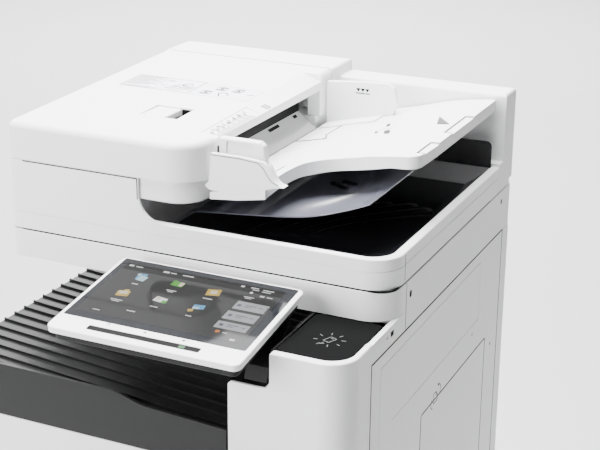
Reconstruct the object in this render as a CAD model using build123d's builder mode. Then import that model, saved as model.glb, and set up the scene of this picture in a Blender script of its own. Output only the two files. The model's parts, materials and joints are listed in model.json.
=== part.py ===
"""Floor-standing office photocopier with a document feeder, a tilting touch panel,
an in-body output tray, four paper cassettes and a pedestal on casters.

Frame: millimetres, +Z up, the front faces -Y, the origin is under the middle of the outline.
"""
import math
import os

from build123d import *

os.makedirs("parts", exist_ok=True)

# ---------------------------------------------------------------- driving sizes
WIDTH = 565.0            # overall, left to right
DEPTH = 712.0            # overall, from the panel's near edge to the back
HEIGHT = 1145.0          # overall, floor to the top of the document feeder
PANEL_REACH = 69.0       # the touch panel stands this far in front of the body
SKIN = 3.0               # wall of the outer covers
PLATE = 2.0              # sheet steel of the inner frames
SEAM = 0.5               # gap between neighbouring covers
DOOR_SEAM = 1.2          # gap round the side door and the feeder cover
RUN = 0.8                # running gap under and beside sliding pieces
PIN_GAP = 0.4            # radial gap of turning pins
FOOT_Z = 52.0            # underside of the pedestal
PEDESTAL_H = 198.0       # pedestal without its feet
BAY_H = 210.0            # height of the two cassette bays in the main body
DOOR_H = 309.5           # height of the front door
CASSETTE_H = 88.0        # height of a cassette's paper box
CASSETTE_D = 560.0       # depth of a cassette's paper box
READER_BAND = 67.0       # height of the reader's side band
GLASS_W = 440.0          # platen glass, left to right
GLASS_D = 300.0          # platen glass, front to back
PANEL_W = 263.0          # touch panel, left to right
PANEL_L = 185.8          # touch panel, near edge to far edge
PANEL_TILT = 7.9         # degrees from level
FEED_TILT_X = 10.0       # hinge line of the feed tray
WHEEL_R = 22.0
WHEEL_W = 18.0

# ---------------------------------------------------------------- derived positions
XR = WIDTH / 2
XL = -XR
YB = DEPTH / 2
YF = -DEPTH / 2 + PANEL_REACH
MAIN_Z = FOOT_Z + PEDESTAL_H
DOOR_Z = MAIN_Z + BAY_H + SEAM
DECK_Z = DOOR_Z + DOOR_H
SIDE_DOOR_Z = MAIN_Z + BAY_H + 10.0
READER_Z = HEIGHT - 233.5
READER_TOP = READER_Z + READER_BAND
READER_UNDER = READER_Z + 27.5
ADF_Z = READER_TOP + 2.5
RIM_Z = ADF_Z + 40.3
SEAM_Z = HEIGHT - 65.0
READER_Y = YF + 136.0
SPLIT_Y = YF + 75.0
BAY_Y = YF + 20.0
PILLAR_X = XR - 158.5
FEEDER_X = XR - 270.5
REAR_Y = YB - 50.0
FEEDER_Y = YB - 78.0
HINGE_Y = YB - 6.0
HINGE_Z = ADF_Z + 3.0
TRAY_HX = FEEDER_X - 2.0
TRAY_HZ = SEAM_Z + 54.0


def block(x0, x1, y0, y1, z0, z1, mode=Mode.ADD):
    """Box between two opposite corners."""
    with Locations(((x0 + x1) / 2, (y0 + y1) / 2, (z0 + z1) / 2)):
        Box(x1 - x0, y1 - y0, z1 - z0, mode=mode)


def across(points, x0, x1, mode=Mode.ADD):
    """Outline given as (y, z) points, carried from x0 to x1."""
    with BuildSketch(Plane.YZ.offset(x0)) as outline:
        with BuildLine():
            Polyline(*points, close=True)
        make_face()
    extrude(outline.sketch, amount=x1 - x0, mode=mode)


def along(points, y0, y1, mode=Mode.ADD):
    """Outline given as (x, z) points, carried from y0 to y1."""
    with BuildSketch(Plane.XZ.offset(-y1)) as outline:
        with BuildLine():
            Polyline(*points, close=True)
        make_face()
    extrude(outline.sketch, amount=y1 - y0, mode=mode)


def slab(x0, x1, y0, y1, z0, z1, radius, mode=Mode.ADD):
    """Plate with four rounded upright corners."""
    with BuildSketch(Plane.XY.offset(z0)) as outline:
        with Locations(((x0 + x1) / 2, (y0 + y1) / 2)):
            RectangleRounded(x1 - x0, y1 - y0, radius)
    extrude(outline.sketch, amount=z1 - z0, mode=mode)


def rod(x, y, z, radius, length, direction, mode=Mode.ADD):
    """Round bar centred on a point; direction is "x", "y" or "z"."""
    turns = {"x": (0, 90, 0), "y": (90, 0, 0), "z": (0, 0, 0)}
    with Locations(Location((x, y, z), turns[direction])):
        Cylinder(radius, length, mode=mode)


# ---------------------------------------------------------------- pedestal
with BuildPart() as pedestal_frame:
    block(XL + 6, XR - 6, YF + 25, YB - 6, FOOT_Z, FOOT_Z + 3)
    block(XL + 6, XR - 6, YF + 25, YB - 6, MAIN_Z - PLATE, MAIN_Z)
    for x0 in (XL + 10 - PLATE, XR - 10):
        block(x0, x0 + PLATE, YF + 25, YB - 6, FOOT_Z + 3, MAIN_Z - PLATE)
    block(XL + 10, XR - 10, YB - 6 - PLATE, YB - 6, FOOT_Z + 3, MAIN_Z - PLATE)
    block(XL + 10, XR - 10, YF + 25, YB - 6 - PLATE, FOOT_Z + 99 - PLATE, FOOT_Z + 99)
pedestal_frame.part.label = "pedestal_frame"
export_step(pedestal_frame.part, "parts/pedestal_frame.step")

with BuildPart() as pedestal_cover:
    block(XL, XR, YF + 22, YB, FOOT_Z, MAIN_Z - SEAM)
    fillet(pedestal_cover.edges().filter_by(Axis.Z).sort_by(Axis.Y)[-2:], radius=8)
    block(XL + SKIN, XR - SKIN, YF + 21, YB - SKIN, FOOT_Z - 1, MAIN_Z, mode=Mode.SUBTRACT)
pedestal_cover.part.label = "pedestal_cover"
export_step(pedestal_cover.part, "parts/pedestal_cover.step")

FOOT_SPOTS = [(sx * (XR - 24), y) for sx in (-1, 1) for y in (YF + 42, YB - 26)]
CASTER_SPOTS = [(sx * (XR - 70), y) for y in (YF + 92, YB - 76) for sx in (-1, 1)]

with BuildPart() as levelling_feet:
    for fx, fy in FOOT_SPOTS:
        rod(fx, fy, 4, 16, 8, "z")
        rod(fx, fy, (8 + FOOT_Z) / 2, 5, FOOT_Z - 8, "z")
        with BuildSketch(Plane.XY.offset(FOOT_Z - 8)):
            with Locations((fx, fy)):
                RegularPolygon(9, 6)
        extrude(amount=8)
levelling_feet.part.label = "levelling_feet"
export_step(levelling_feet.part, "parts/levelling_feet.step")

TRAIL = 12.0
AXLE_Z = WHEEL_R + 1.0
for number, (cx, cy) in enumerate(CASTER_SPOTS, start=1):
    with BuildPart() as fork:
        rod(cx, cy, FOOT_Z - 3.4, 19, 6, "z")
        for side in (-1, 1):
            inner = WHEEL_W / 2 + 1.2
            arm = [(cy - 8, FOOT_Z - 6), (cy + 16, FOOT_Z - 6), (cy + TRAIL + 6, AXLE_Z - 6),
                   (cy + TRAIL - 6, AXLE_Z - 6)]
            low, high = sorted((cx + side * inner, cx + side * (inner + 2.6)))
            across(arm, low, high)
        rod(cx, cy + TRAIL, AXLE_Z, 3 + PIN_GAP, WHEEL_W + 12, "x", mode=Mode.SUBTRACT)
    fork.part.label = f"caster_fork_{number}"
    export_step(fork.part, f"parts/caster_fork_{number}.step")

    with BuildPart() as wheel:
        rod(cx, cy + TRAIL, AXLE_Z, WHEEL_R, WHEEL_W, "x")
        fillet(wheel.edges().filter_by(GeomType.CIRCLE), radius=3)
        rod(cx, cy + TRAIL, AXLE_Z, 3, WHEEL_W + 8, "x")
    wheel.part.label = f"caster_wheel_{number}"
    export_step(wheel.part, f"parts/caster_wheel_{number}.step")

# ---------------------------------------------------------------- cassettes
SHELF_TOPS = [MAIN_Z + 105.0, MAIN_Z + 3.0, FOOT_Z + 99.0, FOOT_Z + 3.0]
FRONT_SPANS = [(MAIN_Z + 105.4, DOOR_Z - 2.5), (MAIN_Z + 2.0, MAIN_Z + 103.6),
               (FOOT_Z + 100.4, MAIN_Z - 2.4), (FOOT_Z + 4.0, FOOT_Z + 98.6)]
BOX_X = XR - 10 - 2.0
for number in range(4):
    base = SHELF_TOPS[number] + RUN
    y0 = BAY_Y + 0.5
    y1 = y0 + CASSETTE_D
    with BuildPart() as cassette:
        block(-BOX_X, BOX_X, y0, y1, base, base + CASSETTE_H)
        block(-BOX_X + 3, BOX_X - 3, y0 + 3, y1 - 3, base + 3, base + CASSETTE_H + 1, mode=Mode.SUBTRACT)
        # side fences and the rear stop that hold the sheets
        block(-BOX_X + 60, -BOX_X + 63, y0 + 180, y0 + 330, base + 3, base + CASSETTE_H - 14)
        block(BOX_X - 63, BOX_X - 60, y0 + 180, y0 + 330, base + 3, base + CASSETTE_H - 14)
        block(-60, 60, y1 - 90, y1 - 87, base + 3, base + CASSETTE_H - 14)
    cassette.part.label = f"cassette_{number + 1}"
    export_step(cassette.part, f"parts/cassette_{number + 1}.step")

    z0, z1 = FRONT_SPANS[number]
    with BuildPart() as cassette_front:
        block(XL, XR, YF, BAY_Y, z0, z1)
        fillet(cassette_front.edges().filter_by(Axis.Z).sort_by(Axis.Y)[:2], radius=10)
        fillet(cassette_front.faces().sort_by(Axis.Y)[0].edges().filter_by(Axis.X), radius=1.2)
        # hand grip under the top edge, and a pocket behind for the paper-size card
        slab(-75, 75, YF - 1, YF + 15, z1 - 46, z1 - 16, 7, mode=Mode.SUBTRACT)
    cassette_front.part.label = f"cassette_front_{number + 1}"
    export_step(cassette_front.part, f"parts/cassette_front_{number + 1}.step")

# ---------------------------------------------------------------- main body
TRAY_X1 = XR - 106.0      # right end of the output tray
INNER_X = XR - 42.0       # inner side wall behind the side door
WALL_Y = YB - 150.0       # rear wall of the in-body output space
with BuildPart() as main_frame:
    # cassette bays
    block(XL + 6, XR - 6, YF + 25, YB - 6, MAIN_Z, MAIN_Z + 3)
    block(XL + 10, XR - 10, YF + 25, YB - 6 - PLATE, MAIN_Z + 105 - PLATE, MAIN_Z + 105)
    block(XL + 6, XR - 6, YF + 25, YB - 6, DOOR_Z - 1 - PLATE, DOOR_Z - 1)
    for x0 in (XL + 10 - PLATE, XR - 10):
        block(x0, x0 + PLATE, YF + 25, YB - 6, MAIN_Z + 3, DOOR_Z - 1 - PLATE)
    block(XL + 10, XR - 10, YB - 6 - PLATE, YB - 6, MAIN_Z + 3, DOOR_Z - 1 - PLATE)
    # side, inner and rear walls of the print section, and the deck under the output tray
    block(XL + 10 - PLATE, XL + 10, SPLIT_Y + 8, YB - 6, DOOR_Z - 1, DECK_Z + 10)
    block(INNER_X - PLATE, INNER_X, SPLIT_Y + 8, YB - 6, DOOR_Z - 1, READER_UNDER - 3)
    block(XL + 10 - PLATE, XR - 30, YB - 6 - PLATE, YB - 6, DOOR_Z - 1, READER_UNDER - 3)
    block(XL + 10, INNER_X - PLATE, SPLIT_Y + 8, YB - 6 - PLATE, DECK_Z + 10 - PLATE, DECK_Z + 10)
    # upright wall and top rails that carry the reader
    block(XL + 10 - PLATE, INNER_X - PLATE, WALL_Y + 6, WALL_Y + 6 + PLATE, DECK_Z + 10, READER_UNDER - 3)
    block(XL + 10 - PLATE, XL + 10, WALL_Y + 6, YB - 6, DECK_Z + 10, READER_UNDER - 3)
    block(XL + 10 - PLATE, XR - 8, WALL_Y + 6, YB - 6, READER_UNDER - 3, READER_UNDER)
    block(TRAY_X1 + 8, XR - 8, READER_Y + 12, WALL_Y + 6, READER_UNDER - 3, READER_UNDER)
    # room under the card pad
    block(INNER_X - 5, INNER_X + 5, SPLIT_Y, READER_Y + 10, READER_UNDER - 9, READER_UNDER + 1,
          mode=Mode.SUBTRACT)
    # cut-outs behind the power inlet and the power switch
    block(XL + 58, XL + 102, YB - 12, YB - 5, MAIN_Z + 38, MAIN_Z + 72, mode=Mode.SUBTRACT)
    block(XR - 12, XR - 5, YF + 99, YF + 131, MAIN_Z + 139, MAIN_Z + 161, mode=Mode.SUBTRACT)
main_frame.part.label = "main_frame"
export_step(main_frame.part, "parts/main_frame.step")

with BuildPart() as left_cover:
    across([(YF + 22, MAIN_Z + SEAM), (YB - SKIN - SEAM, MAIN_Z + SEAM),
            (YB - SKIN - SEAM, READER_Z - SEAM), (WALL_Y, READER_Z - SEAM),
            (WALL_Y, DECK_Z + 62), (SPLIT_Y + SEAM, DECK_Z + 62),
            (SPLIT_Y + SEAM, DOOR_Z - SEAM), (YF + 22, DOOR_Z - SEAM)], XL, XL + SKIN)
left_cover.part.label = "left_cover"
export_step(left_cover.part, "parts/left_cover.step")

with BuildPart() as right_lower_cover:
    across([(YF + 22, MAIN_Z + SEAM), (YB - 35, MAIN_Z + SEAM), (YB - 35, SIDE_DOOR_Z - SEAM),
            (SPLIT_Y + SEAM, SIDE_DOOR_Z - SEAM), (SPLIT_Y + SEAM, DOOR_Z - SEAM),
            (YF + 22, DOOR_Z - SEAM)], XR - SKIN, XR)
    block(XR - 4, XR + 1, YF + 100, YF + 130, MAIN_Z + 140, MAIN_Z + 160, mode=Mode.SUBTRACT)
right_lower_cover.part.label = "right_lower_cover"
export_step(right_lower_cover.part, "parts/right_lower_cover.step")

STEP_Z = READER_Z - 297.5      # the rear seam of the side door steps forward here
with BuildPart() as right_rear_cover:
    across([(YB - 35 + DOOR_SEAM, MAIN_Z + SEAM), (YB - SKIN - SEAM, MAIN_Z + SEAM),
            (YB - SKIN - SEAM, READER_Z - DOOR_SEAM), (YB - 35 + DOOR_SEAM, READER_Z - DOOR_SEAM)],
            XR - SKIN, XR)
right_rear_cover.part.label = "right_rear_cover"
export_step(right_rear_cover.part, "parts/right_rear_cover.step")

with BuildPart() as rear_cover:
    block(XL, XR, YB - SKIN, YB, MAIN_Z + SEAM, READER_Z - SEAM)
    fillet(rear_cover.edges().filter_by(Axis.Z).sort_by(Axis.Y)[-2:], radius=2.5)
    for row in range(9):
        block(XL + 90, XL + 190, YB - 4, YB + 1, DOOR_Z + 120 + row * 12, DOOR_Z + 124 + row * 12,
              mode=Mode.SUBTRACT)
    block(XL + 60, XL + 100, YB - 4, YB + 1, MAIN_Z + 40, MAIN_Z + 70, mode=Mode.SUBTRACT)
rear_cover.part.label = "rear_cover"
export_step(rear_cover.part, "parts/rear_cover.step")

with BuildPart() as power_inlet:
    block(XL + 60.5, XL + 99.5, YB - 22, YB - 1, MAIN_Z + 40.5, MAIN_Z + 69.5)
    block(XL + 66, XL + 94, YB - 18, YB, MAIN_Z + 45, MAIN_Z + 65, mode=Mode.SUBTRACT)
    for dx in (-7, 0, 7):
        block(XL + 79 + dx, XL + 81 + dx, YB - 19, YB - 6, MAIN_Z + 51, MAIN_Z + 58)
power_inlet.part.label = "power_inlet"
export_step(power_inlet.part, "parts/power_inlet.step")

with BuildPart() as power_switch:
    across([(YF + 101.5, MAIN_Z + 142), (YF + 128.5, MAIN_Z + 142), (YF + 128.5, MAIN_Z + 158),
            (YF + 101.5, MAIN_Z + 158)], XR - 8, XR - 1.5)
    fillet(power_switch.edges().filter_by(Axis.Z).sort_by(Axis.X)[-2:], radius=2)
power_switch.part.label = "power_switch"
export_step(power_switch.part, "parts/power_switch.step")

with BuildPart() as front_door:
    with BuildSketch(Plane.XY.offset(DOOR_Z)) as door_plan:
        with Locations((0, (YF + SPLIT_Y) / 2)):
            Rectangle(WIDTH, SPLIT_Y - YF)
        fillet(door_plan.vertices().sort_by(Axis.Y)[:2], radius=38)
    extrude(amount=DOOR_H - SEAM)
    fillet(front_door.faces().sort_by(Axis.Z)[-1].edges().filter_by(
        lambda e: e.center().Y < SPLIT_Y - 1), radius=1.5)
    with BuildSketch(Plane.XY.offset(DOOR_Z + SKIN)) as door_room:
        with Locations((0, (YF + SKIN + SPLIT_Y + 8) / 2)):
            Rectangle(WIDTH - 2 * SKIN, SPLIT_Y + 8 - YF - SKIN)
        fillet(door_room.vertices().sort_by(Axis.Y)[:2], radius=35)
    extrude(amount=DOOR_H - SEAM - 2 * SKIN, mode=Mode.SUBTRACT)
    block(XL + SKIN, XR - SKIN, YF + 38, SPLIT_Y + 1, DOOR_Z - 1, DOOR_Z + DOOR_H, mode=Mode.SUBTRACT)
front_door.part.label = "front_door"
export_step(front_door.part, "parts/front_door.step")

# right-hand pillar in front of the reader, with the notch for the panel's arm
PILLAR_TOP = READER_UNDER + 0.3
NOTCH_Z = READER_UNDER - 47.0
PAD_X0 = XR - 98.5
with BuildPart() as pillar_cover:
    with BuildSketch(Plane.XY.offset(DECK_Z + SEAM)) as pillar_plan:
        with Locations(((PILLAR_X + XR) / 2, (YF + SPLIT_Y) / 2)):
            Rectangle(XR - PILLAR_X, SPLIT_Y - YF)
        fillet(pillar_plan.vertices().group_by(Axis.Y)[0].sort_by(Axis.X)[-1], radius=38)
        fillet(pillar_plan.vertices().group_by(Axis.Y)[0].sort_by(Axis.X)[0], radius=6)
    extrude(amount=PILLAR_TOP - DECK_Z - SEAM)
    with BuildSketch(Plane.XZ.offset(-SPLIT_Y - 1)) as notch_cut:
        with BuildLine():
            Polyline((PILLAR_X - 2, PILLAR_TOP + 2), (PILLAR_X - 2, NOTCH_Z - 10), (PILLAR_X, NOTCH_Z - 10))
            ThreePointArc((PILLAR_X, NOTCH_Z - 10), (PILLAR_X + 2.9, NOTCH_Z - 2.9), (PILLAR_X + 10, NOTCH_Z))
            Polyline((PILLAR_X + 10, NOTCH_Z), (PAD_X0 - 10, NOTCH_Z))
            ThreePointArc((PAD_X0 - 10, NOTCH_Z), (PAD_X0 - 4.9, NOTCH_Z + 2.1), (PAD_X0 - 2, NOTCH_Z + 8))
            Polyline((PAD_X0 - 2, NOTCH_Z + 8), (PAD_X0 - 2, PILLAR_TOP + 2), (PILLAR_X - 2, PILLAR_TOP + 2))
        make_face()
    extrude(amount=SPLIT_Y - YF + 4, mode=Mode.SUBTRACT)
    top_rim = pillar_cover.faces().filter_by(Axis.Z).sort_by(Axis.Z)[-1].edges()
    fillet(top_rim.filter_by(lambda e: e.center().Y < SPLIT_Y - 2), radius=2.5)
    # hollow, open at the back and underneath
    with BuildSketch(Plane.XY.offset(DECK_Z)) as room:
        with Locations(((PILLAR_X + XR) / 2 + 40, (YF + SPLIT_Y) / 2 + 10)):
            Rectangle(XR - PILLAR_X - 80 - 2 * SKIN, SPLIT_Y - YF + 20 - SKIN)
        fillet(room.vertices().group_by(Axis.Y)[0].sort_by(Axis.X)[-1], radius=35)
    extrude(amount=PILLAR_TOP - DECK_Z - 12, mode=Mode.SUBTRACT)
    block(PILLAR_X + SKIN, PILLAR_X + 84, YF + SKIN, SPLIT_Y + 1, DECK_Z, NOTCH_Z - SKIN, mode=Mode.SUBTRACT)
    # seat of the card pad, rounded like the pillar's corner
    with BuildSketch(Plane.XY.offset(PILLAR_TOP - 8)) as seat:
        with Locations(((PAD_X0 - 3 + XR - 7.5) / 2, (YF + 10 + SPLIT_Y + 40) / 2)):
            Rectangle(XR - 7.5 - PAD_X0 + 3, SPLIT_Y + 40 - YF - 10)
        fillet(seat.vertices().group_by(Axis.Y)[0].sort_by(Axis.X)[-1], radius=31)
        fillet(seat.vertices().group_by(Axis.Y)[0].sort_by(Axis.X)[0], radius=4)
    extrude(amount=9, mode=Mode.SUBTRACT)
pillar_cover.part.label = "pillar_cover"
export_step(pillar_cover.part, "parts/pillar_cover.step")

with BuildPart() as card_reader_pad:
    with BuildSketch(Plane.XY.offset(PILLAR_TOP - 7.5)) as pad_plan:
        with Locations(((PAD_X0 + XR - 8) / 2, (YF + 10.5 + READER_Y - 3) / 2)):
            Rectangle(XR - 8 - PAD_X0, READER_Y - 3 - YF - 10.5)
        fillet(pad_plan.vertices().group_by(Axis.Y)[0].sort_by(Axis.X)[-1], radius=30.5)
        fillet(pad_plan.vertices().group_by(Axis.Y)[0].sort_by(Axis.X)[0], radius=8)
        fillet(pad_plan.vertices().group_by(Axis.Y)[-1], radius=6)
    extrude(amount=7.7)
    fillet(card_reader_pad.faces().sort_by(Axis.Z)[-1].edges(), radius=1)
card_reader_pad.part.label = "card_reader_pad"
export_step(card_reader_pad.part, "parts/card_reader_pad.step")

with BuildPart() as corner_cover:
    across([(SPLIT_Y + SEAM, READER_Z + SEAM), (READER_Y + 53 - SEAM, READER_Z + SEAM),
            (READER_Y + 53 - SEAM, READER_UNDER - 0.4), (SPLIT_Y + SEAM, READER_UNDER - 0.4)], XR - 7, XR)
    block(XR - 5, XR + 1, SPLIT_Y + 61, SPLIT_Y + 73, READER_Z + 11.5, READER_Z + 19.5, mode=Mode.SUBTRACT)
    block(XR - 3, XR - 1, SPLIT_Y + 63, SPLIT_Y + 71, READER_Z + 14, READER_Z + 16)
    block(XR - 5.5, XR - 3, SPLIT_Y + 61.5, SPLIT_Y + 72.5, READER_Z + 12, READER_Z + 19)
corner_cover.part.label = "corner_cover"
export_step(corner_cover.part, "parts/corner_cover.step")

# ---------------------------------------------------------------- in-body output tray
LIP_Z = DECK_Z + 72.0      # front edge of the tray at the left of the finger scoop


def tray_top(x):
    """Height of the tray's sheet face at a width position: a straight rise to the left,
    curling down at the right end."""
    rise = DECK_Z + 51.0 - 0.079 * (x - (XR - 200))
    curl = max(0.0, x - (TRAY_X1 - 42))
    return rise - 0.0115 * curl * curl


TRAY_XS = [XL + i * (TRAY_X1 - XL) / 24 for i in range(25)]
with BuildPart() as output_tray:
    upper = [(x, tray_top(x)) for x in TRAY_XS]
    lower = [(x, tray_top(x) - 4) for x in reversed(TRAY_XS)]
    along(upper + lower, YF + 5, WALL_Y)
    RIB_PITCH = 23.0
    rib_count = int((WALL_Y - YF - 24) / RIB_PITCH)
    for rib in range(rib_count):
        rib_y = YF + 16 + rib * RIB_PITCH
        rib_top = [(x, tray_top(x) + 3.2) for x in TRAY_XS[:-1]]
        rib_low = [(x, tray_top(x) - 1) for x in reversed(TRAY_XS[:-1])]
        along(rib_top + rib_low, rib_y, rib_y + 3)
    block(PILLAR_X - 1, TRAY_X1 + 1, YF, SPLIT_Y + 3, DECK_Z, READER_UNDER, mode=Mode.SUBTRACT)
    # black walls at the right (with the sheet exit) and at the back
    block(TRAY_X1, TRAY_X1 + 4, YF + 84, WALL_Y + 5, DECK_Z + 11, READER_UNDER - 1)
    block(TRAY_X1 - 2, TRAY_X1 + 6, YF + 118, WALL_Y - 60, DECK_Z + 84, DECK_Z + 98, mode=Mode.SUBTRACT)
    block(XL + 4, TRAY_X1, WALL_Y, WALL_Y + 4, DECK_Z + 11, READER_UNDER - 1)
output_tray.part.label = "output_tray"
export_step(output_tray.part, "parts/output_tray.step")

def scoop_height(x):
    """Front edge above the deck: a slow fall to the right with one soft dip at the finger scoop."""
    dip = min(1.0, max(0.0, (x - (XR - 322)) / 52))
    return 75.0 - 0.012 * (x - XL) - 11.0 * dip * dip * (3 - 2 * dip) - 0.042 * max(0.0, x - (XR - 270))


SCOOP_XS = [XL + i * (PILLAR_X - SEAM - XL) / 40 for i in range(41)]
with BuildPart() as tray_front_cover:
    face = [(XL, DECK_Z + SEAM)] + [(x, DECK_Z + scoop_height(x)) for x in SCOOP_XS]
    face.append((PILLAR_X - SEAM, DECK_Z + SEAM))
    along(face, YF, YF + 4)
    along([(XL, DECK_Z + SEAM), (XL, DECK_Z + 61), (XL + SKIN, DECK_Z + 61), (XL + SKIN, DECK_Z + SEAM)],
          YF + 4, SPLIT_Y)
tray_front_cover.part.label = "tray_front_cover"
export_step(tray_front_cover.part, "parts/tray_front_cover.step")

# ---------------------------------------------------------------- side door
DOOR_Y1 = YB - 35.0
BY_Y0 = YF + 263.0
BY_Y1 = YB - 97.0
BY_Z1 = READER_Z - 155.5
BY_Z0 = SIDE_DOOR_Z + 60.0
with BuildPart() as side_door:
    block(XR - SKIN, XR, SPLIT_Y + DOOR_SEAM, DOOR_Y1, SIDE_DOOR_Z + SEAM, READER_Z - DOOR_SEAM)
    # inner frame: rails round the edge and the guide face of the sheet path
    block(XR - 25, XR - SKIN, SPLIT_Y + 10, SPLIT_Y + 14, SIDE_DOOR_Z + 6, READER_Z - 10)
    block(XR - 25, XR - SKIN, DOOR_Y1 - 8, DOOR_Y1 - 4, SIDE_DOOR_Z + 6, READER_Z - 10)
    block(XR - 25, XR - SKIN, SPLIT_Y + 14, DOOR_Y1 - 8, SIDE_DOOR_Z + 6, SIDE_DOOR_Z + 10)
    block(XR - 25, XR - SKIN, SPLIT_Y + 14, DOOR_Y1 - 8, READER_Z - 14, READER_Z - 10)
    block(XR - SKIN - 1, XR + 1, BY_Y0, BY_Y1, BY_Z0, BY_Z1, mode=Mode.SUBTRACT)
    # shallow grooves round the hand-hold area and the panel below it
    groove_x = XR - 1.0
    for y0, y1, z0, z1 in ((SPLIT_Y + 31, YB - 136, READER_Z - 18, READER_Z - 16.8),
                           (SPLIT_Y + 31, SPLIT_Y + 32.2, BY_Z0, READER_Z - 16.8),
                           (YB - 137.2, YB - 136, READER_Z - 109, READER_Z - 16.8),
                           (SPLIT_Y + 74, YB - 136, READER_Z - 109, READER_Z - 108)):
        block(groove_x, XR + 1, y0, y1, z0, z1, mode=Mode.SUBTRACT)
side_door.part.label = "side_door"
export_step(side_door.part, "parts/side_door.step")

with BuildPart() as bypass_tray:
    block(XR - 7, XR, BY_Y0 + 1, BY_Y1 - 1, BY_Z0 + SEAM, BY_Z1 - 1)
    fillet(bypass_tray.edges().filter_by(Axis.X).sort_by(Axis.Z)[-2:], radius=4)
bypass_tray.part.label = "bypass_tray"
export_step(bypass_tray.part, "parts/bypass_tray.step")

with BuildPart() as bypass_extension:
    block(XR - 11, XR - 8, BY_Y0 + 30, BY_Y1 - 30, BY_Z0 + 40, BY_Z1 - 8)
    slab(XR - 12, XR - 7, BY_Y0 + 100, BY_Y1 - 100, BY_Z1 - 30, BY_Z1 - 20, 2, mode=Mode.SUBTRACT)
bypass_extension.part.label = "bypass_extension"
export_step(bypass_extension.part, "parts/bypass_extension.step")

# ---------------------------------------------------------------- inside the main body
BOTTLE_XS = [XL + 70 + i * 84 for i in range(4)]
BOTTLE_Z = DOOR_Z + 225.0
with BuildPart() as toner_bottles:
    for bx in BOTTLE_XS:
        rod(bx, YF + 290, BOTTLE_Z, 33, 380, "y")
        rod(bx, YF + 93, BOTTLE_Z, 36, 14, "y")
toner_bottles.part.label = "toner_bottles"
export_step(toner_bottles.part, "parts/toner_bottles.step")

FUSE_X = XR - 102.0
FUSE_Z = DOOR_Z + 150.0
BELT_X = (XL + 70 + FUSE_X - 56) / 2
BELT_W = FUSE_X - 56 - XL - 70
with BuildPart() as transfer_belt:
    with BuildSketch(Plane.XZ.offset(-(YF + 470))):
        with Locations((BELT_X, DOOR_Z + 130)):
            SlotOverall(BELT_W, 46)
            SlotOverall(BELT_W - 4, 42, mode=Mode.SUBTRACT)
    extrude(amount=340)
    for end in (-1, 1):
        rod(BELT_X + end * (BELT_W / 2 - 23), YF + 300, DOOR_Z + 130, 20.5, 344, "y")
    block(BELT_X - BELT_W / 2 - 6, BELT_X + BELT_W / 2 + 2, YF + 122, YF + 127, DOOR_Z + 98, DOOR_Z + 162)
transfer_belt.part.label = "transfer_belt"
export_step(transfer_belt.part, "parts/transfer_belt.step")

with BuildPart() as fuser_unit:
    block(FUSE_X - 48, FUSE_X + 48, YF + 100, YF + 112, FUSE_Z - 40, FUSE_Z + 40)
    block(FUSE_X - 48, FUSE_X + 48, YF + 478, YF + 490, FUSE_Z - 40, FUSE_Z + 40)
    block(FUSE_X - 48, FUSE_X - 44, YF + 112, YF + 478, FUSE_Z - 40, FUSE_Z + 40)
    for rx in (-20, 20):
        rod(FUSE_X + rx, YF + 295, FUSE_Z, 6 + PIN_GAP, 400, "y", mode=Mode.SUBTRACT)
fuser_unit.part.label = "fuser_unit"
export_step(fuser_unit.part, "parts/fuser_unit.step")

with BuildPart() as fuser_roller:
    rod(FUSE_X - 20, YF + 295, FUSE_Z, 19.6, 356, "y")
    rod(FUSE_X - 20, YF + 295, FUSE_Z, 6, 386, "y")
fuser_roller.part.label = "fuser_roller"
export_step(fuser_roller.part, "parts/fuser_roller.step")

with BuildPart() as pressure_roller:
    rod(FUSE_X + 20, YF + 295, FUSE_Z, 19.6, 356, "y")
    rod(FUSE_X + 20, YF + 295, FUSE_Z, 6, 386, "y")
pressure_roller.part.label = "pressure_roller"
export_step(pressure_roller.part, "parts/pressure_roller.step")

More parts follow.
